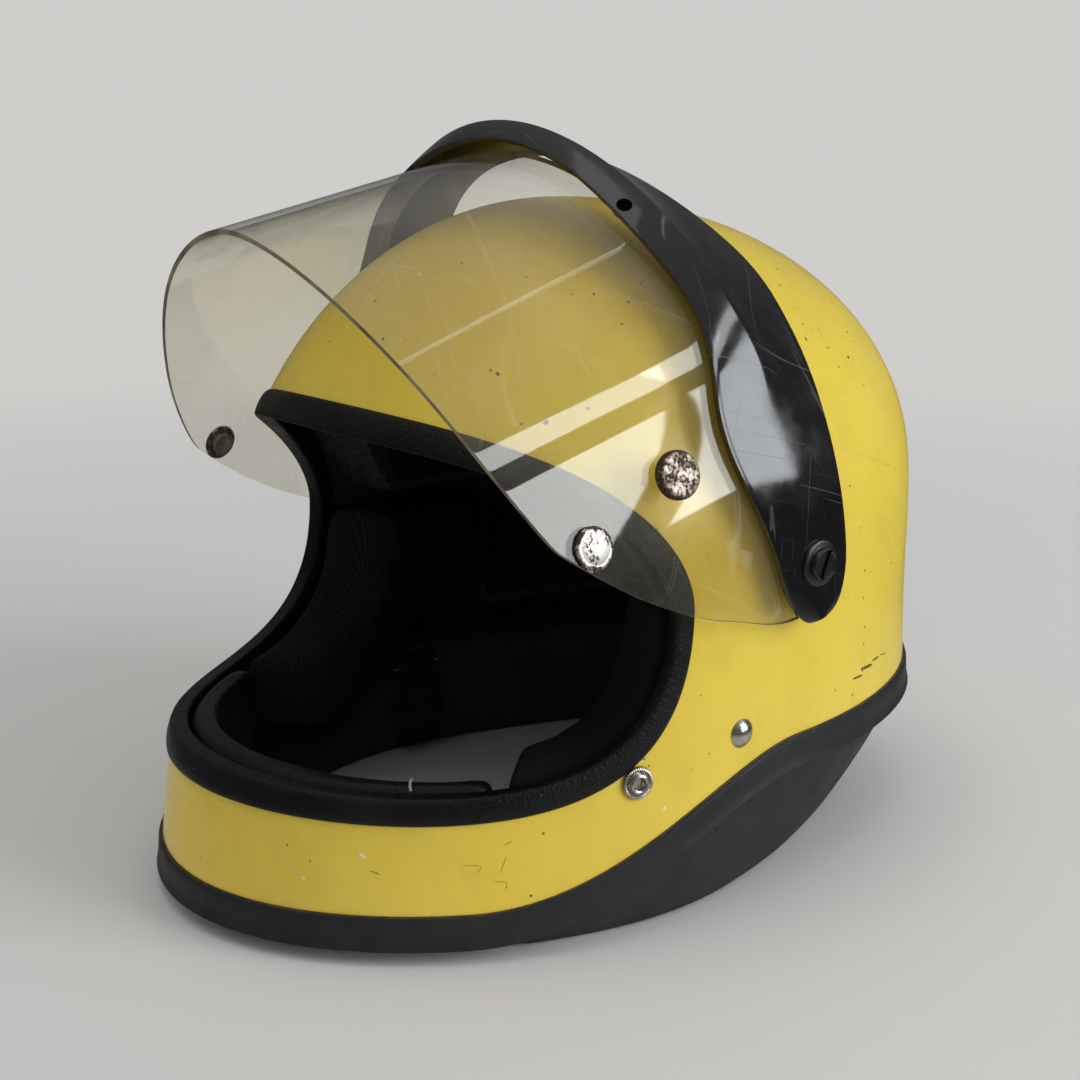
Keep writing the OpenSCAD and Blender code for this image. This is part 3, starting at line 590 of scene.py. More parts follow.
def cloth_finish(name, dark, pale, along, about, cross):
    """A woven cloth, its colour painted darker between its ribs as shade and paler on their tops as light,
    with a little dust.
    """
    made, tree, shader = coated(name, dark, {"Roughness": 0.95, "Specular IOR Level": 0.2})
    threads = effect(tree, weave, Along=along, Around=about, Cross=cross)
    # Painted shade and light: the colour follows the weave's height, dark in the grooves and pale on the ribs
    cloth = colour_mix(tree, stretch(tree, threads, 0.2, 1.3), (*dark, 1), (*pale, 1))
    dusty = stretch(tree, noise(tree, 30.0, 5.0, 0.65), 0.55, 0.85, 0.0, 0.2)
    feed(tree, shader, "Base Color", colour_mix(tree, dusty, cloth, (0.02, 0.02, 0.02, 1)))
    raise_by(tree, shader, threads, rib_depth)
    return made


# Painted shade: the liner's cloth colours are set darker than black cloth alone, for the shade inside the
# helmet
wear(liner, cloth_finish(
    "quilted_liner_cloth", dark=(0.003, 0.003, 0.0035), pale=(0.007, 0.007, 0.008),
    along=280.0, about=75.0, cross=0.8))
smooth(liner, 60)
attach(liner, "helmet")
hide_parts("comfort_liner")

# Pads. Two crowned cheek pads of foam in ribbed black cloth, and a thin chin pad in black leather
# cloth, line the chin bar. Each is pushed in behind the rubber of the port and sewn round its edge.
cheek_turns = (39.3, 105.5)
cheek_low = 14.5
cheek_over = 13.0
cheek_tuck = 0.8
cheek_out = -9.0
cheek_thick = 36.0
chin_turn = 39.2
chin_low = -1.4
chin_over = 12.0
chin_tuck = 0.5
chin_out = -12.0
chin_thick = 7.2
chin_lip = 5.6
lip_height = 11.0
lip_run = 4.0
end_map = (0.11, 0.16)
end_power = 26
end_root = 7


def even_loop(power, count):
    """Corners of a rounded square, evenly spaced along it."""
    fine = []
    for k in range(1201):
        ways = (math.cos(math.pi * k / 600), math.sin(math.pi * k / 600))
        fine.append(Vector([math.copysign(abs(way) ** (2 / power), way) for way in ways]))
    runs = [0.0]
    for before, after in zip(fine, fine[1:]):
        runs.append(runs[-1] + (after - before).length)
    loop = []
    here = 0
    for k in range(count):
        while runs[here + 1] < runs[-1] * k / count:
            here += 1
        loop.append(fine[here])
    return loop


def end_share(u):
    """How full a cushion's section is along its length: full, and closed at both ends."""
    return max(0.0, 1 - abs(2 * u - 1) ** end_power) ** (1 / end_root)


def faced_out(piece):
    """Turns the faces of a closed piece outwards."""
    edit(piece, (bpy.ops.mesh.normals_make_consistent, {"inside": False}))


def sealed(piece, gap):
    """Closes a shape along its seams and poles, and turns its faces outwards."""
    merged(piece, gap)
    faced_out(piece)


def stuffed(name, turns, low, high, out, thick, lip, power, columns, rows):
    """A closed cushion on the shell's inside between two turns and two heights, rounded all round.

    Its upper edge comes forward by a lip, to meet the rubber of the port. The map of its two ends
    is laid flat, so that the cloth's ribs run straight over them.
    """
    loop = even_loop(power, rows)

    def place(u, v):
        turn = mix(turns[0], turns[1], u)
        ends = end_share(u)
        c, s = loop[round(v * rows) % rows]
        half = (high(turn) - low(turn)) / 2
        z = low(turn) + half * (1 + ends * s)
        depth = out - thick / 2 + thick / 2 * ends * c
        depth += lip * (0.5 + 0.5 * c) * ease((z - high(turn) + lip_height) / lip_run)
        return dome(turn, z, depth)

    piece = laid_grid(name, columns, rows, place)
    corners = piece.data.uv_layers.active.data
    for face in piece.data.polygons:
        spots = [corners[k] for k in face.loop_indices]
        middle = sum(spot.uv.x for spot in spots) / len(spots)
        if abs(2 * middle - 1) > 1 - 2 / columns:
            for spot in spots:
                c, s = loop[round(spot.uv.y * rows) % rows]
                ends = end_share(spot.uv.x)
                spot.uv = (end_map[0] * ends * c, end_map[1] * ends * s)
    sealed(piece, 0.005)
    return piece


# Painted shade: the pad cloth's colours are set darker than black cloth alone, for the shade inside the
# helmet
pad_cloth = cloth_finish(
    "ribbed_pad_cloth", dark=(0.003, 0.0033, 0.0042), pale=(0.0105, 0.0115, 0.0135),
    along=72.0, about=95.0, cross=0.15)
for side, name in ((1, "left"), (-1, "right")):
    pad = stuffed(
        "cheek_cushion_" + name, [side * turn for turn in cheek_turns],
        lambda turn: base_z(turn) + cheek_low,
        lambda turn: port_z(turn, -cheek_over, False) - cheek_tuck,
        cheek_out, cheek_thick, lip=0.0, power=7.0, columns=80, rows=72)
    swell(pad, pressure=4.0, cap=1.2)
    wear(pad, pad_cloth)
    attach(pad, "helmet")
    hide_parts("cheek_pad_" + name)

# A pebbled grain with fine creases, for rubber and leather cloth
grain, given, out = effect_group("grain", {"Scale": 700.0, "Fine": 0.4}, "Height")
where = coordinates(grain)
pebbles = add(grain, "ShaderNodeTexVoronoi", {
    "Vector": where, "Scale": given["Scale"]}, feature="SMOOTH_F1").outputs["Distance"]
creases = noise(grain, 1500.0, 3.0, 0.6, where)
grain.links.new(math_node(
    grain, "ADD", pebbles, math_node(grain, "MULTIPLY", creases, given["Fine"])), out["Height"])


def rubber_finish(name, dark, pale, rough, scale, depth):
    """A rubber or coated cloth with a fine grain, dusty where it is rubbed."""
    made, tree, shader = coated(name, dark, {"IOR": 1.48, "Specular IOR Level": 0.24})
    rubbed = stretch(tree, noise(tree, 26.0, 6.0, 0.65), 0.42, 0.75)
    base = colour_mix(tree, rubbed, (*dark, 1), (*pale, 1))
    dust = effect(tree, specks, Scale=210.0, Size=0.07, Share=0.08)
    feed(tree, shader, "Base Color", colour_mix(tree, dust, base, (0.09, 0.088, 0.085, 1)))
    feed(tree, shader, "Roughness", stretch(
        tree, noise(tree, 55.0, 4.0), 0.3, 0.7, rough - 0.08, rough + 0.1))
    raise_by(tree, shader, effect(tree, grain, Scale=scale, Fine=0.5), depth)
    return made


grained_black = rubber_finish(
    "grained_port_rubber", dark=(0.003, 0.003, 0.0035), pale=(0.008, 0.008, 0.009),
    rough=0.42, scale=950.0, depth=0.0003)
chin_cushion = stuffed(
    "chin_cushion", (-chin_turn, chin_turn),
    lambda turn: base_z(turn) + chin_low,
    lambda turn: port_z(turn, -chin_over, False) - chin_tuck,
    chin_out, chin_thick, lip=chin_lip, power=3.5, columns=100, rows=64)
swell(chin_cushion, pressure=3.0, cap=0.5)
wear(chin_cushion, grained_black)
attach(chin_cushion, "helmet")
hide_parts("chin_pad")

# A line of pale thread over the chin pad, as depths into the shell and rises over the pad's top
stitch_turn = 27.9
stitch_slant = 1.9
stitch_width = 0.35
stitch_low = 0.25
stitch_thick = 0.3
stitch_spots = [
    (-7.4, -1.6), (-8.6, -0.4), (-10.5, 0.1), (-13.0, 0.15), (-15.5, 0.0), (-17.6, -0.9), (-18.8, -2.4)]


def stitch_line(u, v):
    depth, rise = stitch_spots[round(u * (len(stitch_spots) - 1))]
    turn = stitch_turn + (v - 0.5) * stitch_width - stitch_slant * u
    return dome(turn, port_z(turn, -chin_over, False) - stitch_low + rise, depth)


stitches = laid_grid("chin_stitch_line", len(stitch_spots) - 1, 1, stitch_line)
face_away(stitches, dome(stitch_turn, 40, -13))
apply_modifier(stitches, "SOLIDIFY", thickness=stitch_thick * MM, offset=1)
thread, tree, shader = coated("pale_thread", (0.3, 0.27, 0.2), {"Roughness": 0.9})
feed(tree, shader, "Base Color", colour_mix(
    tree, noise(tree, 1500.0), (0.1, 0.09, 0.07, 1), (0.45, 0.41, 0.31, 1)))
wear(stitches, thread)
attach(stitches, "helmet")

# Neck roll. A padded skirt of matte coated cloth closes the base under its trim. It is full and
# firm, stands flat on the table, and its two ends are rounded off beside the chin.
base_trim_height = 13.0
roll_gap = 0.3
roll_end_turn = 40.0
roll_end_round = 5.0
roll_rim = 4.0
roll_side_inset = 5.6
roll_back_inset = 29.4
roll_thick = 30.0
roll_back_more = 16.0
roll_back_turns = (61.0, 144.0)
roll_foot_round = 3.0
roll_face_curve = 1.22
roll_columns = 280
roll_face_steps = 14
roll_bead = [(0.0, -6.0), (1.3, -6.4), (1.5, -7.6), (1.3, -9.0), (0.0, -11.0)]
roll_inside = [
    (1.0, 6.0), (0.96, 3.6), (0.88, 1.6), (0.75, 0.4), (0.55, 0.0), (0.3, 0.0), (0.12, 0.6), (0.03, 2.2)]


def roll_section(turn, step):
    """A corner of the roll's section: up its outside face, over the top and down the inside."""
    away = turn if turn <= 180 else 360 - turn
    backness = ease((away - roll_back_turns[0]) / (roll_back_turns[1] - roll_back_turns[0]))
    top = base_z(turn) - base_trim_height - roll_gap
    if step <= roll_face_steps:
        k = step / roll_face_steps
        z = top * k
        out = -roll_rim - mix(roll_side_inset, roll_back_inset, backness) * (1 - k) ** roll_face_curve
        out -= roll_foot_round * (1 - math.sqrt(1 - (1 - min(1.0, z / roll_foot_round)) ** 2))
        return z, out
    step -= roll_face_steps + 1
    if step < len(roll_bead):
        return top + roll_bead[step][0], roll_bead[step][1]
    share, inset = roll_inside[step - len(roll_bead)]
    return top * share, -roll_thick - roll_back_more * backness + inset


def roll_spot(u, v):
    turn = mix(roll_end_turn, 360 - roll_end_turn, u)
    z, out = roll_section(turn, round(v * roll_corners) % roll_corners)
    nearest = min(turn - roll_end_turn, 360 - roll_end_turn - turn) / roll_end_round
    ends = math.sqrt(1 - (1 - min(1.0, nearest)) ** 2)
    return dome(turn, z, mix(-roll_thick / 2 - roll_rim, out, ends))


roll_corners = roll_face_steps + 1 + len(roll_bead) + len(roll_inside)
roll = laid_grid("neck_roll_skirt", roll_columns, roll_corners, roll_spot)
sealed(roll, 0.005)
smooth(roll, 50)
wear(roll, rubber_finish(
    "matte_roll_cover", dark=(0.021, 0.022, 0.0235), pale=(0.032, 0.033, 0.035),
    rough=0.66, scale=1500.0, depth=0.00005))
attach(roll, "helmet")
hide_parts("neck_roll")

# Rubber trims. Black grained rubber is pressed over the edge of the eye port, and a grey channel
# over the base edge, where brown glue has crept out along its upper side.
port_profile = [
    (-10.5, -2.4), (-10.5, 0.3), (-10.2, 1.1), (-9.4, 1.7), (-8.0, 2.0), (-5.0, 2.15),
    (-2.4, 1.95), (-0.9, 1.5), (-0.2, 0.9), (0.0, 0.3), (-9.3, 0.3), (-9.3, -4.3),
    (0.0, -4.3), (0.0, -5.1), (-1.2, -5.6), (-9.0, -5.6), (-10.1, -5.0), (-10.5, -4.2)]
base_profile = [
    (-13.0, -2.4), (-13.0, 0.6), (-12.9, 1.7), (-12.5, 2.3), (-11.9, 2.2), (-11.2, 1.7), (-6.0, 1.7),
    (-1.6, 1.6), (-0.5, 1.3), (0.0, 0.9), (0.0, 0.3), (-9.3, 0.3), (-9.3, -4.3),
    (0.0, -4.3), (0.0, -5.1), (-1.2, -5.6), (-11.5, -5.6), (-12.6, -5.0), (-13.0, -4.2)]
trim_columns = 320
glue_radius = 0.55
glue_proud = 0.35


def port_spot(u, grow, out):
    """Round the port: along its upper edge from right to left and back along the lower one."""
    upper = u < 0.5
    step = 4 * u - 1 if upper else 3 - 4 * u
    turn = math.sin(math.pi / 2 * step) * port_turn(grow)
    return dome(turn, port_z(turn, grow, upper), out)


def base_spot(u, grow, out):
    return dome(360 * u, base_z(360 * u) + grow, out)


def rubber_channel(name, profile, spot, node, finish):
    """A moulded channel whose profile runs round an edge of the shell."""
    count = len(profile)
    piece = laid_grid(
        name, trim_columns, count, lambda u, v: spot(u, *profile[round(v * count) % count]))
    sealed(piece, 0.002)
    smooth(piece, 50)
    wear(piece, finish)
    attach(piece, "helmet")
    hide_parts(node)


rubber_channel(
    "port_trim_rubber", port_profile, port_spot, "eye_port_trim", grained_black)
grey_rubber = rubber_finish(
    "grey_base_rubber", dark=(0.016, 0.017, 0.018), pale=(0.027, 0.028, 0.029),
    rough=0.5, scale=1700.0, depth=0.00005)
rubber_channel("base_trim_rubber", base_profile, base_spot, "base_trim", grey_rubber)


def glue_line(u, v):
    turn = 360 * u
    around = 2 * math.pi * v
    rise = glue_radius * math.sin(around)
    return dome(turn, base_z(turn) + rise, glue_proud + glue_radius * math.cos(around))


glue = laid_grid("base_glue_line", 240, 6, glue_line)
sealed(glue, 0.001)
smooth(glue, 80)
brown, tree, shader = coated("dried_glue", (0.05, 0.024, 0.01), {"Roughness": 0.6})
patchy = stretch(tree, noise(tree, 140.0, 4.0, 0.7), 0.35, 0.7)
feed(tree, shader, "Base Color", colour_mix(
    tree, patchy, (0.018, 0.011, 0.007, 1), (0.085, 0.052, 0.026, 1)))
raise_by(tree, shader, noise(tree, 500.0), 0.0004)
wear(glue, brown)
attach(glue, "helmet")

# Chin strap fixings. Zinc-plated hangers are riveted inside the shell, and each holds a strap of
# black webbing on its bar. Two D-rings hang in the left strap; the right one is folded in a keeper.
metal, tree, shader = coated("zinc_plate", (0.6, 0.6, 0.61), {"Metallic": 1.0})
feed(tree, shader, "Base Color", colour_mix(
    tree, stretch(tree, noise(tree, 60.0, 5.0), 0.35, 0.7), (0.62, 0.62, 0.63, 1), (0.42, 0.42, 0.42, 1)))
feed(tree, shader, "Roughness", stretch(tree, noise(tree, 180.0, 4.0), 0.3, 0.7, 0.25, 0.45))
raise_by(tree, shader, noise(tree, 900.0), 0.00004)
nickel, tree, shader = coated("polished_nickel", (0.66, 0.63, 0.58), {"Metallic": 1.0})
dull = stretch(tree, noise(tree, 210.0, 5.0, 0.65), 0.45, 0.75)
feed(tree, shader, "Base Color", colour_mix(
    tree, dull, (0.52, 0.49, 0.44, 1), (0.26, 0.22, 0.17, 1)))
feed(tree, shader, "Roughness", stretch(tree, dull, 0.0, 1.0, 0.2, 0.5))
raise_by(tree, shader, noise(tree, 1100.0), 0.00004)
for name in ("strap_hangers", "d_ring_lower", "d_ring_upper", "stud_nuts", "pivot_nuts"):
    dress(name, metal)
dress("strap_rivets", nickel, 50)

strap_width = 20.0
strap_thick = 1.6
loop_mid = 2.35
fold_radius = 1.7
bar = (-37.0, -26.0)
ring_upper = (-39.75, -37.0)
ring_lower = (-37.0, -54.0)
fold_low = bar[1] - 37
fold_high = bar[1] - 9
fold_end = bar[1] - 33
rivet_normal = dome_normal(*rivet_at)
side_turn = math.atan2(rivet_normal.y, rivet_normal.x)
out_way = Vector((math.cos(side_turn), math.sin(side_turn), 0))
along_way = Vector((-math.sin(side_turn), math.cos(side_turn), 0))


def side_spot(out, along, up, side):
    """A place counted from the left rivet, or mirrored to the right side."""
    spot = dome(*rivet_at) + (out_way * out + along_way * along + Vector((0, 0, up))) * MM
    return Vector((side * spot.x, spot.y, spot.z))


def arc(middle, radius, start, end, steps=18):
    turns = [math.radians(mix(start, end, k / steps)) for k in range(steps + 1)]
    return [(middle[0] + radius * math.cos(turn), middle[1] + radius * math.sin(turn)) for turn in turns]


def run(start, end, steps=16):
    shares = [k / steps for k in range(1, steps)]
    return [(mix(start[0], end[0], share), mix(start[1], end[1], share)) for share in shares]


def webbing_run(name, path, side, width=strap_width):
    """A band of webbing along a path of places out of and up from the rivet."""
    def place(u, v):
        out, up = path[round(u * (len(path) - 1))]
        return side_spot(out, (v - 0.5) * width, up, side)

    piece = laid_grid(name, len(path) - 1, 8, place)
    faced_out(piece)
    apply_modifier(piece, "SOLIDIFY", thickness=strap_thick * MM, offset=0)
    apply_modifier(piece, "BEVEL", width=0.35 * MM, segments=2, limit_method="ANGLE",
                   angle_limit=math.radians(50))
    smooth(piece, 40)
    return piece


left_web = arc(bar, loop_mid, 270, -90)
left_web += run((bar[0], bar[1] - loop_mid), (ring_lower[0], ring_lower[1] + loop_mid))
left_web += arc(ring_lower, loop_mid, 90, 450)
strap_left = joined("left_strap_webbing", [
    webbing_run("left_web", left_web, 1),
    webbing_run("ring_loop", arc(ring_upper, loop_mid, 10, 350), 1)])
right_web = arc(bar, loop_mid, 270, -90)
right_web += run((bar[0], bar[1] - loop_mid), (bar[0], fold_low))
right_web += arc((bar[0] - fold_radius, fold_low), fold_radius, 0, -180)
right_web += run((bar[0] - 2 * fold_radius, fold_low), (bar[0] - 2 * fold_radius, fold_high))
right_web += arc((bar[0] - 3 * fold_radius, fold_high), fold_radius, 0, 180)
right_web += run((bar[0] - 4 * fold_radius, fold_high), (bar[0] - 4 * fold_radius, fold_end), 20)
strap_right = webbing_run("right_strap_webbing", right_web, -1)
keeper_room = 0.8
keeper_half = (2 * fold_radius + strap_thick / 2 + keeper_room, strap_width / 2 + keeper_room)
keeper_round = 1.6
keeper_thick = 1.0
keeper_up = bar[1] - 24
keeper_height = 9.0


def keeper_corner(x, y, start):
    return arc((bar[0] - 2 * fold_radius + x * (keeper_half[0] - keeper_round),
                y * (keeper_half[1] - keeper_round)), keeper_round, start, start + 90, 6)


keeper_path = []
for x, y, start in ((1, 1, 0), (-1, 1, 90), (-1, -1, 180), (1, -1, 270)):
    keeper_path += keeper_corner(x, y, start)
keeper_path.append(keeper_path[0])


def keeper_band(u, v):
    out, along = keeper_path[round(u * (len(keeper_path) - 1))]
    return side_spot(out, along, keeper_up + (v - 0.5) * keeper_height, -1)


keeper = laid_grid("keeper_band", len(keeper_path) - 1, 4, keeper_band)
sealed(keeper, 0.001)
apply_modifier(keeper, "SOLIDIFY", thickness=keeper_thick * MM, offset=0)
smooth(keeper, 40)
for piece, finish, along, about, body, node in (
        (strap_left, "left_strap_weave", 36.0, 13.0, "left_strap", "chin_strap_left"),
        (strap_right, "right_strap_weave", 90.0, 13.0, "right_strap", "chin_strap_right"),
        (keeper, "keeper_weave", 40.0, 6.0, "right_strap", "strap_keeper")):
    wear(piece, cloth_finish(finish, (0.006, 0.006, 0.007), (0.02, 0.02, 0.022), along, about, cross=0.9))
    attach(piece, body)
    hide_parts(node)

# Snap studs. Each is a nickel post with a rolled rim in a knurled ring, screwed through the chin
# bar beside the port, and it holds the visor's press snap when that is shut.
stud_profile = [
    (0.0, 0.9), (1.9, 0.9), (2.3, 1.4), (2.5, 2.6), (3.1, 2.9), (3.7, 2.6), (3.75, 2.2), (3.4, 1.8),
    (3.5, 1.0), (3.9, 0.7), (4.5, 0.8), (5.1, 1.5), (5.7, 1.7), (6.3, 1.5), (6.6, 1.0), (6.6, 0.2),
    (6.2, 0.15), (0.0, 0.15)]


def turned(name, profile, place, teeth=0, bite=0.0, toothed=0.0, sides=64):
    """A turned piece of radii and heights, set by a matrix; teeth bite into radii past a limit."""
    rows = len(profile) - 1

    def spot(u, v):
        radius, height = profile[round(v * rows)]
        around = 2 * math.pi * u
        if teeth and radius >= toothed:
            radius -= bite * (0.5 + 0.5 * math.cos(teeth * around))
        return place @ (Vector((radius * math.cos(around), radius * math.sin(around), height)) * MM)

    piece = laid_grid(name, teeth * 4 if teeth else sides, rows, spot)
    sealed(piece, 0.001)
    smooth(piece, 40)
    return piece


def seat(spot, normal):
    """A place on a surface, with Z along its normal."""
    return Matrix.Translation(spot) @ normal.to_track_quat("Z", "Y").to_matrix().to_4x4()


def mirrored(name, make, matrix):
    """A left piece and its mirror on the right side, as one object."""
    right = make(name + "_right", Matrix.Scale(-1, 4, Vector((1, 0, 0))) @ matrix)
    faced_out(right)
    return joined(name, [make(name + "_left", matrix), right])


stud_seat = seat(dome(*stud_at), dome_normal(*stud_at))
studs = mirrored("snap_stud_pair", lambda name, place: turned(
    name, stud_profile, place, teeth=40, bite=0.5, toothed=5.05), stud_seat)
wear(studs, nickel)
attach(studs, "helmet")
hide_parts("snap_studs")

# Visor sheet. A clear plastic sheet, gone smoky and a little yellow, is bent over the shell from
# pivot to pivot. It is scratched all over, and its cut edge looks brown.
visor_half_width = 130.3
visor_arch = 155.0
sheet_thick = 2.0
visor_front = 143.7
visor_corner = 118.9
visor_tilt = 11.9
arch_power = 2.1
arch_power_fall = 0.0024
visor_taper = 0.046
visor_flat = 25.0
sheet_low = -17.2
sheet_low_rise = 208.0
sheet_edge_power = 2.68
sheet_corner = 7.2
sheet_corner_share = 0.16
snap_place = (40.6, 98.8)
knob_place = (52.4, 56.2)
socket_bore = 10.1
knob_stem = 4.1
sheet_low_drop = 3.8
sheet_low_drop_run = (13.0, 45.0)
sheet_spread = 1.3
sheet_back_blur = 5.0
sheet_back_edge = [
    (-17.2, 9), (-15, -4), (-10, -9), (-2, -12), (30, -10), (50, -2), (62, 14), (75, 17), (90, 12), (105, 10),
    (125, 13), (155, 13)]
hinge_spot = Vector((0, head_y + pivot_back, pivot_z)) * MM
at_visor = Matrix.Translation(hinge_spot) @ Matrix.Rotation(math.radians(visor_tilt), 4, "X")


def look_up(x, table):
    """A value from a table of pairs, on straight lines between them."""
    for (x0, y0), (x1, y1) in zip(table, table[1:]):
        if x <= x1:
            return mix(y0, y1, max(0.0, (x - x0) / (x1 - x0)))
    return table[-1][1]


def soft_look_up(x, table, blur):
    """The same with its corners rounded over a width."""
    return sum(look_up(x + blur * k / 4, table) for k in range(-4, 5)) / 9


def arch(width, top, power, height):
    share = min(1.0, max(0.0, height) / top)
    return width * (1 - share**power) ** (1 / power)


def arch_width(v):
    return visor_half_width - visor_taper * max(0.0, v - visor_flat)


def arch_x(height, v):
    return arch(arch_width(v), visor_arch, arch_power - arch_power_fall * v, height)


def sheet_spot(u, v):
    """A point in the middle of the sheet: u runs round the arch and v from the front edge back."""
    across = 2 * u - 1
    p = (1 - abs(across)) ** sheet_spread
    front = mix(visor_corner, visor_front, 1 - (1 - p) ** sheet_edge_power)
    front -= sheet_corner * (1 - math.sqrt(1 - (1 - min(1.0, p / sheet_corner_share)) ** 2))
    back = soft_look_up(
        mix(sheet_low, visor_arch, math.sin(math.pi / 2 * p)), sheet_back_edge, sheet_back_blur)
    along = mix(front, back, v)
    drop = ease((sheet_low_drop_run[1] - along) / (sheet_low_drop_run[1] - sheet_low_drop_run[0]))
    lowest = sheet_low + along**2 / sheet_low_rise - sheet_low_drop * drop
    height = mix(lowest, visor_arch, math.sin(math.pi / 2 * p))
    x = math.copysign(arch_x(height, along), across)
    return at_visor @ (Vector((x, -along, height)) * MM)


def visor_spot(place):
    """A spot on the left of the sheet and the direction square to it."""
    height, along = place
    slope = Vector((1, arch_x(height, along + 0.5) - arch_x(height, along - 0.5),
                    arch_x(height - 0.5, along) - arch_x(height + 0.5, along))).normalized()
    spot = Vector((arch_x(height, along), -along, height)) * MM
    return at_visor @ spot, at_visor.to_3x3() @ slope


sheet = laid_grid("visor_clear_sheet", 180, 56, sheet_spot, 2)
visor_middle = at_visor @ (Vector((0, -60, 30)) * MM)
face_away(sheet, visor_middle)
apply_modifier(sheet, "SOLIDIFY", thickness=sheet_thick * MM, offset=0, material_offset_rim=1)
pivot_spot = Vector((visor_half_width, head_y + pivot_back, pivot_z)) * MM
holes = []
for (left, way), size in (
        (visor_spot(snap_place), socket_bore), (visor_spot(knob_place), knob_stem),
        ((pivot_spot, Vector((1, 0, 0))), pivot_shank)):
    for spot, square in zip(both_sides(left), both_sides(way)):
        holes.append((spot, square, size, 6 * sheet_thick))
bored(sheet, holes)
smooth(sheet, 40)

clear, tree, shader = coated("smoky_clear_sheet", (0.72, 0.68, 0.52), {"Roughness": 0.35})
through = add(tree, "ShaderNodeBsdfTransparent", {"Color": (0.945, 0.935, 0.875, 1)})
mirror = add(tree, "ShaderNodeBsdfAnisotropic", {"Color": (1, 1, 1, 1), "Roughness": 0.03})
lines = effect(tree, scratches, Length=0.4, Breadth=0.15, Scale=110.0, Width=0.006, Share=0.38)
smear = stretch(tree, noise(tree, 16.0, 6.0, 0.62), 0.45, 0.8, 0.02, 0.08)
haze = math_node(tree, "ADD", smear, math_node(tree, "MULTIPLY", lines, 0.1))
facing = add(tree, "ShaderNodeNewGeometry").outputs["Backfacing"]
fresnel = add(tree, "ShaderNodeFresnel", {"IOR": stretch(tree, facing, 0.0, 1.0, 1.5, 1 / 1.5)})
sheen = add(tree, "ShaderNodeMixShader", {0: haze, 1: through.outputs[0], 2: shader.outputs[0]})
gloss = add(tree, "ShaderNodeMixShader", {
    0: fresnel.outputs[0], 1: sheen.outputs[0], 2: mirror.outputs[0]})
tree.links.new(gloss.outputs[0], tree.nodes["Material Output"].inputs["Surface"])
cut_edge, tree, shader = coated("brown_cut_edge", (0.2, 0.15, 0.09), {"IOR": 1.5})
feed(tree, shader, "Base Color", colour_mix(
    tree, stretch(tree, noise(tree, 80.0, 3.0), 0.35, 0.7), (0.13, 0.095, 0.055, 1), (0.3, 0.25, 0.17, 1)))
feed(tree, shader, "Roughness", stretch(tree, noise(tree, 300.0), 0.3, 0.7, 0.25, 0.5))
wear(sheet, clear, cut_edge)
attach(sheet, "visor")
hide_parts("visor_sheet")

# Visor frame. A black moulded band carries the sheet from pivot to pivot. Its front facet is satin
# and has a fixing hole each side; behind the crease its rear facet is hollow, glossy and scratched.
frame_thick = 2.6
frame_over = 4.4
frame_arch_power = 2.0
lead_rise = 7.3
ridge_rise = 12.7
trail_drop = 4.1
ridge_proud = 0.25
frame_tip = -23.6
frame_end_share = 0.12
frame_end_flat = 0.1
rear_hollow = 1.6
front_crown = 0.3
arm_crown = 0.9
crease_fade = (58.0, 100.0)
frame_hole_place = (133.2, 17.6)
frame_hole = 6.0
frame_blur = 9.0
lead_edge = [
    (-20, 15.5), (11, 21.1), (46, 30.5), (60, 32.2), (72, 29.4), (90, 21.1), (105, 18.9), (125, 21.3),
    (140, 22.4), (170, 18.1)]
ridge_edge = [
    (-20, 0.9), (11, -1.5), (46, -4), (60, -3.3), (72, -2.6), (90, 2.4), (105, 4.2), (125, 6.7),
    (140, 8.4), (170, 11.8)]
trail_edge = [
    (-20, -16), (11, -18.3), (46, -20.5), (60, -21.5), (72, -22.4), (90, -23), (105, -23.5), (125, -17.6),
    (140, -13.2), (170, -7.8)]


def frame_line(across, table, over, proud, square):
    """A point of one of the frame's long edges, round the arch and round the ends of its arms."""
    top = visor_arch + over
    share = (1 - abs(across)) / frame_end_share
    if share < 1:
        share = mix(frame_end_flat, 1, share)
        height = frame_tip * math.cos(math.pi / 2 * share)
        along = soft_look_up(height, table, frame_blur) * math.sin(math.pi / 2 * share) ** square
    else:
        height = top * math.sin(math.pi / 2 * (share - 1) / (1 / frame_end_share - 1))
        along = soft_look_up(height, table, frame_blur)
    x = arch(arch_width(along) + proud, top, frame_arch_power, height)
    return Vector((math.copysign(x, across), -along, height)) * MM


def frame_spot(u, v):
    """The outside of the band: v runs from the leading edge over the crease to the trailing edge.

    The crease fades out down the arms, which are gently rounded instead.
    """
    across = 2 * u - 1
    lead = frame_line(across, lead_edge, lead_rise, frame_over, 0.6)
    ridge = frame_line(across, ridge_edge, ridge_rise, frame_over + ridge_proud, 1.0)
    trail = frame_line(across, trail_edge, -trail_drop, frame_over, 0.75)
    away = Vector((ridge.x, 0, max(0.0, ridge.z))).normalized() * MM
    creased = ease((ridge.z / MM - crease_fade[0]) / (crease_fade[1] - crease_fade[0]))
    if v <= 0.5:
        folded = lead.lerp(ridge, 2 * v) + away * front_crown * math.sin(2 * math.pi * v)
    else:
        folded = ridge.lerp(trail, 2 * v - 1) - away * rear_hollow * math.sin(math.pi * (2 * v - 1))
    rounded = lead.lerp(trail, v) + away * arm_crown * math.sin(math.pi * v)
    return at_visor @ rounded.lerp(folded, creased)


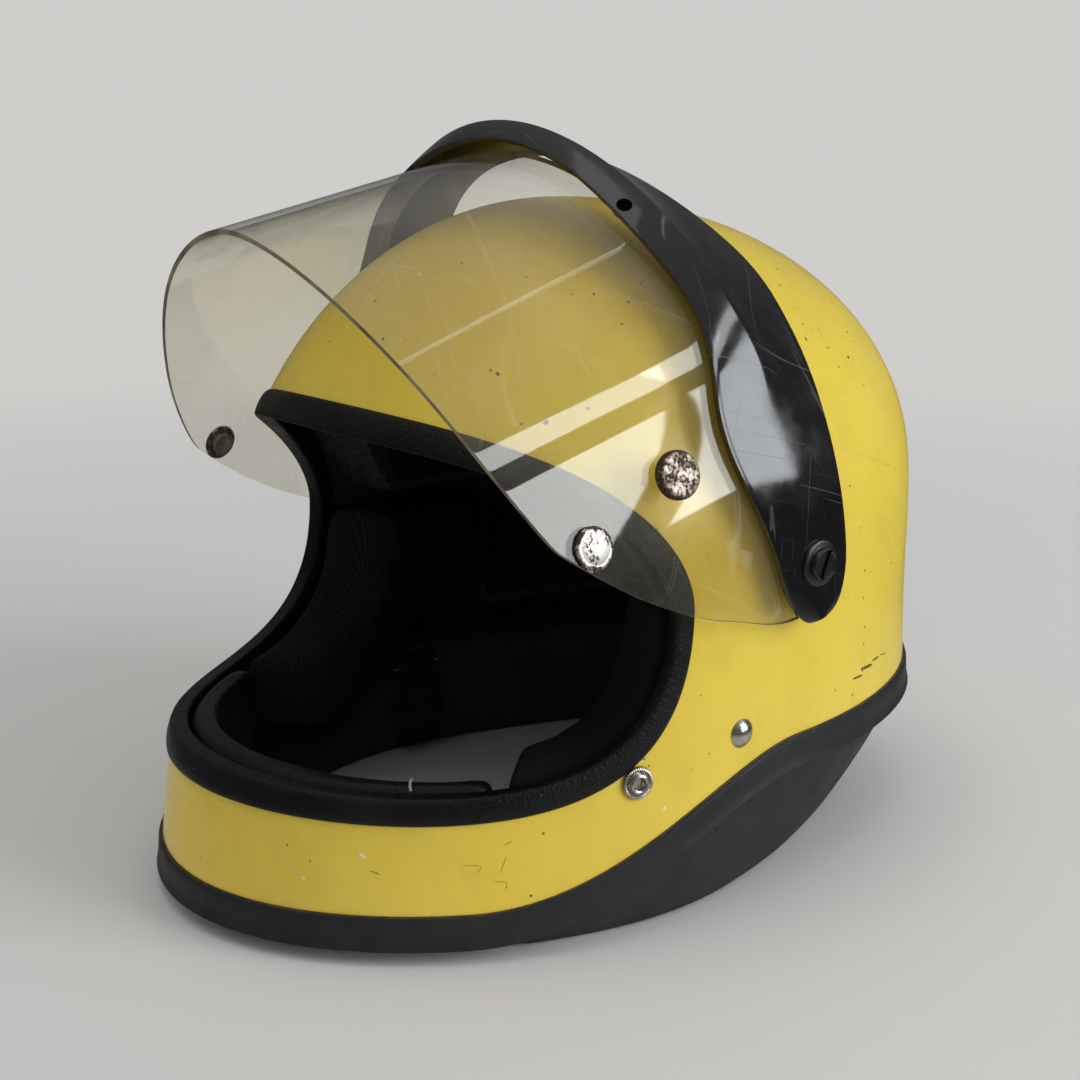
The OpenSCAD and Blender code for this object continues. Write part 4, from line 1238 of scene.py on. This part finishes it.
band = laid_grid("visor_frame_band", 200, 20, frame_spot, 2)
merged(band, 0.002)
face_away(band, visor_middle)
for face in band.data.polygons:
    local = at_visor.inverted() @ face.center / MM
    crease = soft_look_up(local.z, ridge_edge, frame_blur)
    face.material_index = 0 if -local.y > crease else 1
apply_modifier(band, "SOLIDIFY", thickness=frame_thick * MM, offset=-1, use_even_offset=True)
apply_modifier(band, "BEVEL", width=0.5 * MM, segments=3, limit_method="ANGLE",
               angle_limit=math.radians(55))
hole_spot, hole_way = visor_spot(frame_hole_place)
hole_rim = band.ray_cast(hole_spot + hole_way * 40 * MM, -hole_way)[1]
holes = []
for spot, way in zip(both_sides(hole_spot), both_sides(hole_way)):
    holes.append((spot, way, frame_hole, 60.0))
for spot in both_sides(pivot_spot):
    holes.append((spot, Vector((1, 0, 0)), pivot_shank, 30.0))
bored(band, holes)
smooth(band, 28)
# Dark cups close the fixing holes from behind so that they show dark: a dark part standing in for the shade
# seen in the open holes
cup_profile = [(0.0, -4.2), (3.2, -4.2), (3.4, -1.2), (3.05, -1.2), (3.05, -3.6), (0.0, -3.6)]
cups = mirrored(
    "frame_hole_cups", lambda name, place: turned(name, cup_profile, place), seat(hole_rim, hole_way))
band = joined("visor_frame_band", [band, cups])


def black_moulding(name, rough, line_share, dust):
    """Black moulded plastic with scratches that have gone grey, and a film of dust."""
    made, tree, shader = coated(name, (0.003, 0.003, 0.004), {"IOR": 1.62})
    lines = effect(
        tree, scratches, Length=0.6, Breadth=0.055, Scale=160.0, Width=0.012, Share=line_share)
    hairs = effect(tree, scratches, Length=0.7, Breadth=0.06, Scale=420.0, Width=0.03, Share=line_share)
    film = stretch(tree, noise(tree, 40.0, 6.0, 0.65), 0.5, 0.8, 0.0, dust)
    base = colour_mix(tree, film, (0.003, 0.003, 0.004, 1), (0.05, 0.05, 0.053, 1))
    base = colour_mix(tree, math_node(tree, "MULTIPLY", lines, 0.2), base, (0.2, 0.2, 0.2, 1))
    base = colour_mix(tree, math_node(tree, "MULTIPLY", hairs, 0.06), base, (0.2, 0.2, 0.2, 1))
    feed(tree, shader, "Base Color", base)
    feed(tree, shader, "Roughness", stretch(
        tree, noise(tree, 70.0, 5.0), 0.3, 0.75, rough - 0.04, rough + 0.1))
    raise_by(tree, shader, math_node(tree, "ADD", noise(tree, 300.0, 2.0), lines), 0.00003, 0.35)
    return made


wear(band, black_moulding("satin_black_front", rough=0.1, line_share=0.32, dust=0.06),
     black_moulding("gloss_black_rear", rough=0.08, line_share=0.36, dust=0.06))
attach(band, "visor")
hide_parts("visor_frame")

# Pivots. A black screw with a coin slot in its raised disc clamps the frame and sheet at each
# side, with a spacer under the sheet and a plated nut inside the shell.
screw_clear = 0.3
pivot_face = visor_half_width + frame_over + screw_clear
screw_profile = [
    (0.0, 3.9), (5.0, 3.9), (5.6, 4.5), (6.2, 4.4), (6.5, 4.0), (6.5, 2.3), (7.2, 2.1), (8.2, 2.1),
    (8.9, 1.8), (9.2, 1.2), (9.2, 0.2), (8.9, 0.0), (2.5, 0.0), (2.5, -18.5), (0.0, -18.5)]
slot_size = Vector((11.6, 2.0, 1.9))
slot_top = 4.7
slot_turn = math.radians(-22)


def slotted_screw(name, place):
    piece = turned(name, screw_profile, place)
    bpy.ops.mesh.primitive_cube_add(size=1.0)
    cutter = bpy.context.object
    for corner in cutter.data.vertices:
        spot = corner.co * slot_size + Vector((0, 0, slot_top - slot_size.z / 2))
        corner.co = place @ (spot * MM)
    faced_out(cutter)
    apply_modifier(piece, "BOOLEAN", operation="DIFFERENCE", solver="EXACT", object=cutter)
    bpy.data.objects.remove(cutter)
    smooth(piece, 40)
    return piece


screw_spot = Vector((pivot_face, head_y + pivot_back, pivot_z)) * MM
screw_place = Matrix.Translation(screw_spot) @ Matrix.Rotation(math.radians(90), 4, "Y")
screw_place = screw_place @ Matrix.Rotation(slot_turn, 4, "Z")
screws = mirrored("pivot_screw_pair", slotted_screw, screw_place)
black_screw = black_moulding("satin_black_screw", rough=0.3, line_share=0.15, dust=0.15)
wear(screws, black_screw)
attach(screws, "helmet")
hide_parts("pivot_screws")
dress("pivot_spacers", black_screw)

# Snaps and lift knobs. Nickel-plated press-snap caps with rolled edges sit at the front corners,
# their sockets flush in the sheet, and a knurled knob stands behind each. All are spotted with rust.
cap_profile = [
    (0.0, 2.15), (3.0, 2.1), (5.6, 1.9), (6.2, 1.7), (6.5, 1.8), (7.1, 1.75), (7.6, 1.4), (7.8, 1.0),
    (7.7, 0.5), (7.3, 0.15), (6.6, 0.05), (0.0, 0.05)]
knob_profile = [
    (0.0, 4.3), (4.4, 4.35), (7.2, 4.4), (7.9, 4.3), (8.4, 4.0), (8.7, 3.5), (9.0, 3.2), (9.0, 0.6),
    (8.7, 0.2), (8.0, 0.05), (2.0, 0.05), (2.0, -1.9), (0.0, -1.9)]
seat_rise = 1.1


def on_sheet(place):
    spot, normal = visor_spot(place)
    return seat(spot + normal * seat_rise * MM, normal)


def rusted(name, amount, spread, plate, rim):
    """Dull plate that rust has eaten through in ragged specks, most of all along its rim."""
    made, tree, shader = coated(name, (0.6, 0.56, 0.5), {})
    ragged = math_node(tree, "ADD", noise(tree, 800.0, 5.0, 0.65), math_node(
        tree, "MULTIPLY", noise(tree, 260.0, 1.0), 0.5))
    edge = split(tree, coordinates(tree, "UV"))["Y"]
    ragged = math_node(tree, "ADD", ragged, stretch(tree, edge, rim - 0.12, rim, 0.0, 0.16))
    eaten = stretch(tree, ragged, amount, amount + 0.04)
    stain = stretch(tree, ragged, amount - spread, amount)
    stained = (plate[0] * 0.55, plate[1] * 0.48, plate[2] * 0.42, 1)
    metal = colour_mix(tree, stain, (*plate, 1), stained)
    brown = colour_mix(
        tree, noise(tree, 1200.0, 3.0), (0.075, 0.035, 0.022, 1), (0.03, 0.016, 0.012, 1))
    feed(tree, shader, "Base Color", colour_mix(tree, eaten, metal, brown))
    feed(tree, shader, "Metallic", stretch(tree, eaten, 0.0, 1.0, 0.8, 0.1))
    feed(tree, shader, "Roughness", stretch(tree, stain, 0.0, 1.0, 0.45, 0.7))
    raise_by(tree, shader, math_node(tree, "MULTIPLY", eaten, noise(tree, 1500.0, 3.0)), 0.0002)
    return made


caps = mirrored(
    "snap_cap_pair", lambda name, place: turned(name, cap_profile, place), on_sheet(snap_place))
knobs = mirrored("lift_knob_pair", lambda name, place: turned(
    name, knob_profile, place, teeth=48, bite=0.4, toothed=8.95), on_sheet(knob_place))
cap_metal = rusted("spotted_snap_nickel", amount=0.87, spread=0.06, plate=(0.62, 0.59, 0.55), rim=0.42)
knob_metal = rusted("rusty_knob_nickel", amount=0.77, spread=0.14, plate=(0.52, 0.45, 0.39), rim=0.36)
for piece, node, finish in ((caps, "snap_caps", cap_metal), (knobs, "lift_knobs", knob_metal)):
    wear(piece, finish)
    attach(piece, "visor")
    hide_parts(node)
dress("snap_sockets", cap_metal)

# Stage. A plain pale table top under soft window light from the helmet's left, which also gives
# the long pale reflections in the visor, and the camera at the photograph's place.
backdrop = (0.62, 0.615, 0.6, 1)
bpy.ops.object.select_all(action="DESELECT")
bpy.ops.mesh.primitive_plane_add(size=14.0)
table = bpy.context.object
table.name = "table_top"
table_white, tree, shader = coated("table_white", (0.78, 0.78, 0.79), {"Roughness": 0.6})
feed(tree, shader, "Base Color", colour_mix(
    tree, noise(tree, 3.0, 2.0), (0.77, 0.77, 0.78, 1), (0.8, 0.8, 0.81, 1)))


def light_path(tree, kind):
    """Is 1 for rays of one kind."""
    return add(tree, "ShaderNodeLightPath").outputs[kind]


reach = add(tree, "ShaderNodeVectorMath", {0: coordinates(tree)}, operation="LENGTH").outputs["Value"]
far = math_node(
    tree, "MULTIPLY", stretch(tree, reach, 0.35, 1.3), light_path(tree, "Is Camera Ray"))
glow = add(tree, "ShaderNodeEmission", {"Color": backdrop, "Strength": 1.0})
blend = add(tree, "ShaderNodeMixShader", {0: far, 1: shader.outputs[0], 2: glow.outputs[0]})
# Mirrored in the gloss, the table ends soon and the room behind it is dark
mirrored_far = math_node(
    tree, "MULTIPLY", stretch(tree, reach, 0.2, 0.5), light_path(tree, "Is Glossy Ray"))
shade = add(tree, "ShaderNodeEmission", {"Color": (0.07, 0.07, 0.07, 1), "Strength": 1.0})
blend = add(tree, "ShaderNodeMixShader", {0: mirrored_far, 1: blend.outputs[0], 2: shade.outputs[0]})
tree.links.new(blend.outputs[0], tree.nodes["Material Output"].inputs["Surface"])
wear(table, table_white)

scene = bpy.context.scene
scene.view_settings.view_transform = "Standard"
world = bpy.data.worlds.new("room")
scene.world = world
world.use_nodes = True
tree = world.node_tree
way_up = split(tree, coordinates(tree, "Generated"))["Z"]
dim_room = colour_mix(
    tree, stretch(tree, way_up, 0.45, 0.95), (0.14, 0.14, 0.145, 1), (0.5, 0.5, 0.5, 1))
room = colour_mix(tree, light_path(tree, "Is Glossy Ray"), (0.5, 0.495, 0.48, 1), dim_room)
feed(tree, tree.nodes["Background"], "Color", colour_mix(
    tree, light_path(tree, "Is Camera Ray"), room, backdrop))


def place_around(azimuth, elevation, distance, middle):
    a = math.radians(azimuth)
    e = math.radians(elevation)
    way = Vector((math.sin(a) * math.cos(e), -math.cos(a) * math.cos(e), math.sin(e)))
    return middle + way * distance, way


visor_side = Vector((0.115, -0.08, 0.18))
window_distance = 3.0


def window_pane(name, azimuth, elevation, width, height, radiance, colour=(0.93, 0.97, 1.0)):
    """A soft rectangular light, its size in degrees, which faces the side of the visor."""
    spot, way = place_around(azimuth, elevation, window_distance, visor_side)
    bpy.ops.object.light_add(
        type="AREA", location=spot, rotation=way.to_track_quat("Z", "Y").to_euler())
    lamp = bpy.context.object
    lamp.name = name
    lamp.data.shape = "RECTANGLE"
    lamp.data.size = 2 * window_distance * math.tan(math.radians(width / 2))
    lamp.data.size_y = 2 * window_distance * math.tan(math.radians(height / 2))
    lamp.data.energy = radiance * math.pi * lamp.data.size * lamp.data.size_y
    lamp.data.color = colour


window_pane("window_front", azimuth=110, elevation=15.5, width=18.5, height=25, radiance=6.0)
window_pane("window_rear", azimuth=129.2, elevation=16.5, width=13.5, height=25, radiance=6.5)
window_pane("window_front_top", azimuth=110, elevation=36, width=18.5, height=5, radiance=5.0)
window_pane("window_rear_top", azimuth=129.2, elevation=36, width=13.5, height=5, radiance=5.0)
window_pane("ceiling_strip", azimuth=141, elevation=66, width=22, height=0.4, radiance=3.0)
window_pane("ceiling_glow", azimuth=20, elevation=76, width=34, height=34, radiance=0.75,
            colour=(1.0, 0.98, 0.95))

camera_azimuth = 48.69
camera_elevation = 13.99
camera_distance = 0.7339
camera_roll = math.radians(0.72)
camera_target = Vector((0, head_y - 11.46, 123.81)) * MM
spot, back = place_around(camera_azimuth, camera_elevation, camera_distance, camera_target)
right = Vector((0, 0, 1)).cross(back).normalized()
up = back.cross(right)
rolled_right = right * math.cos(camera_roll) + up * math.sin(camera_roll)
rolled_up = up * math.cos(camera_roll) - right * math.sin(camera_roll)
camera = bpy.data.objects.new("camera", bpy.data.cameras.new("camera"))
scene.collection.objects.link(camera)
camera.data.sensor_width = 36.0
camera.data.lens = 56.68
camera.matrix_world = Matrix((rolled_right, rolled_up, back)).transposed().to_4x4()
camera.location = spot
scene.camera = camera
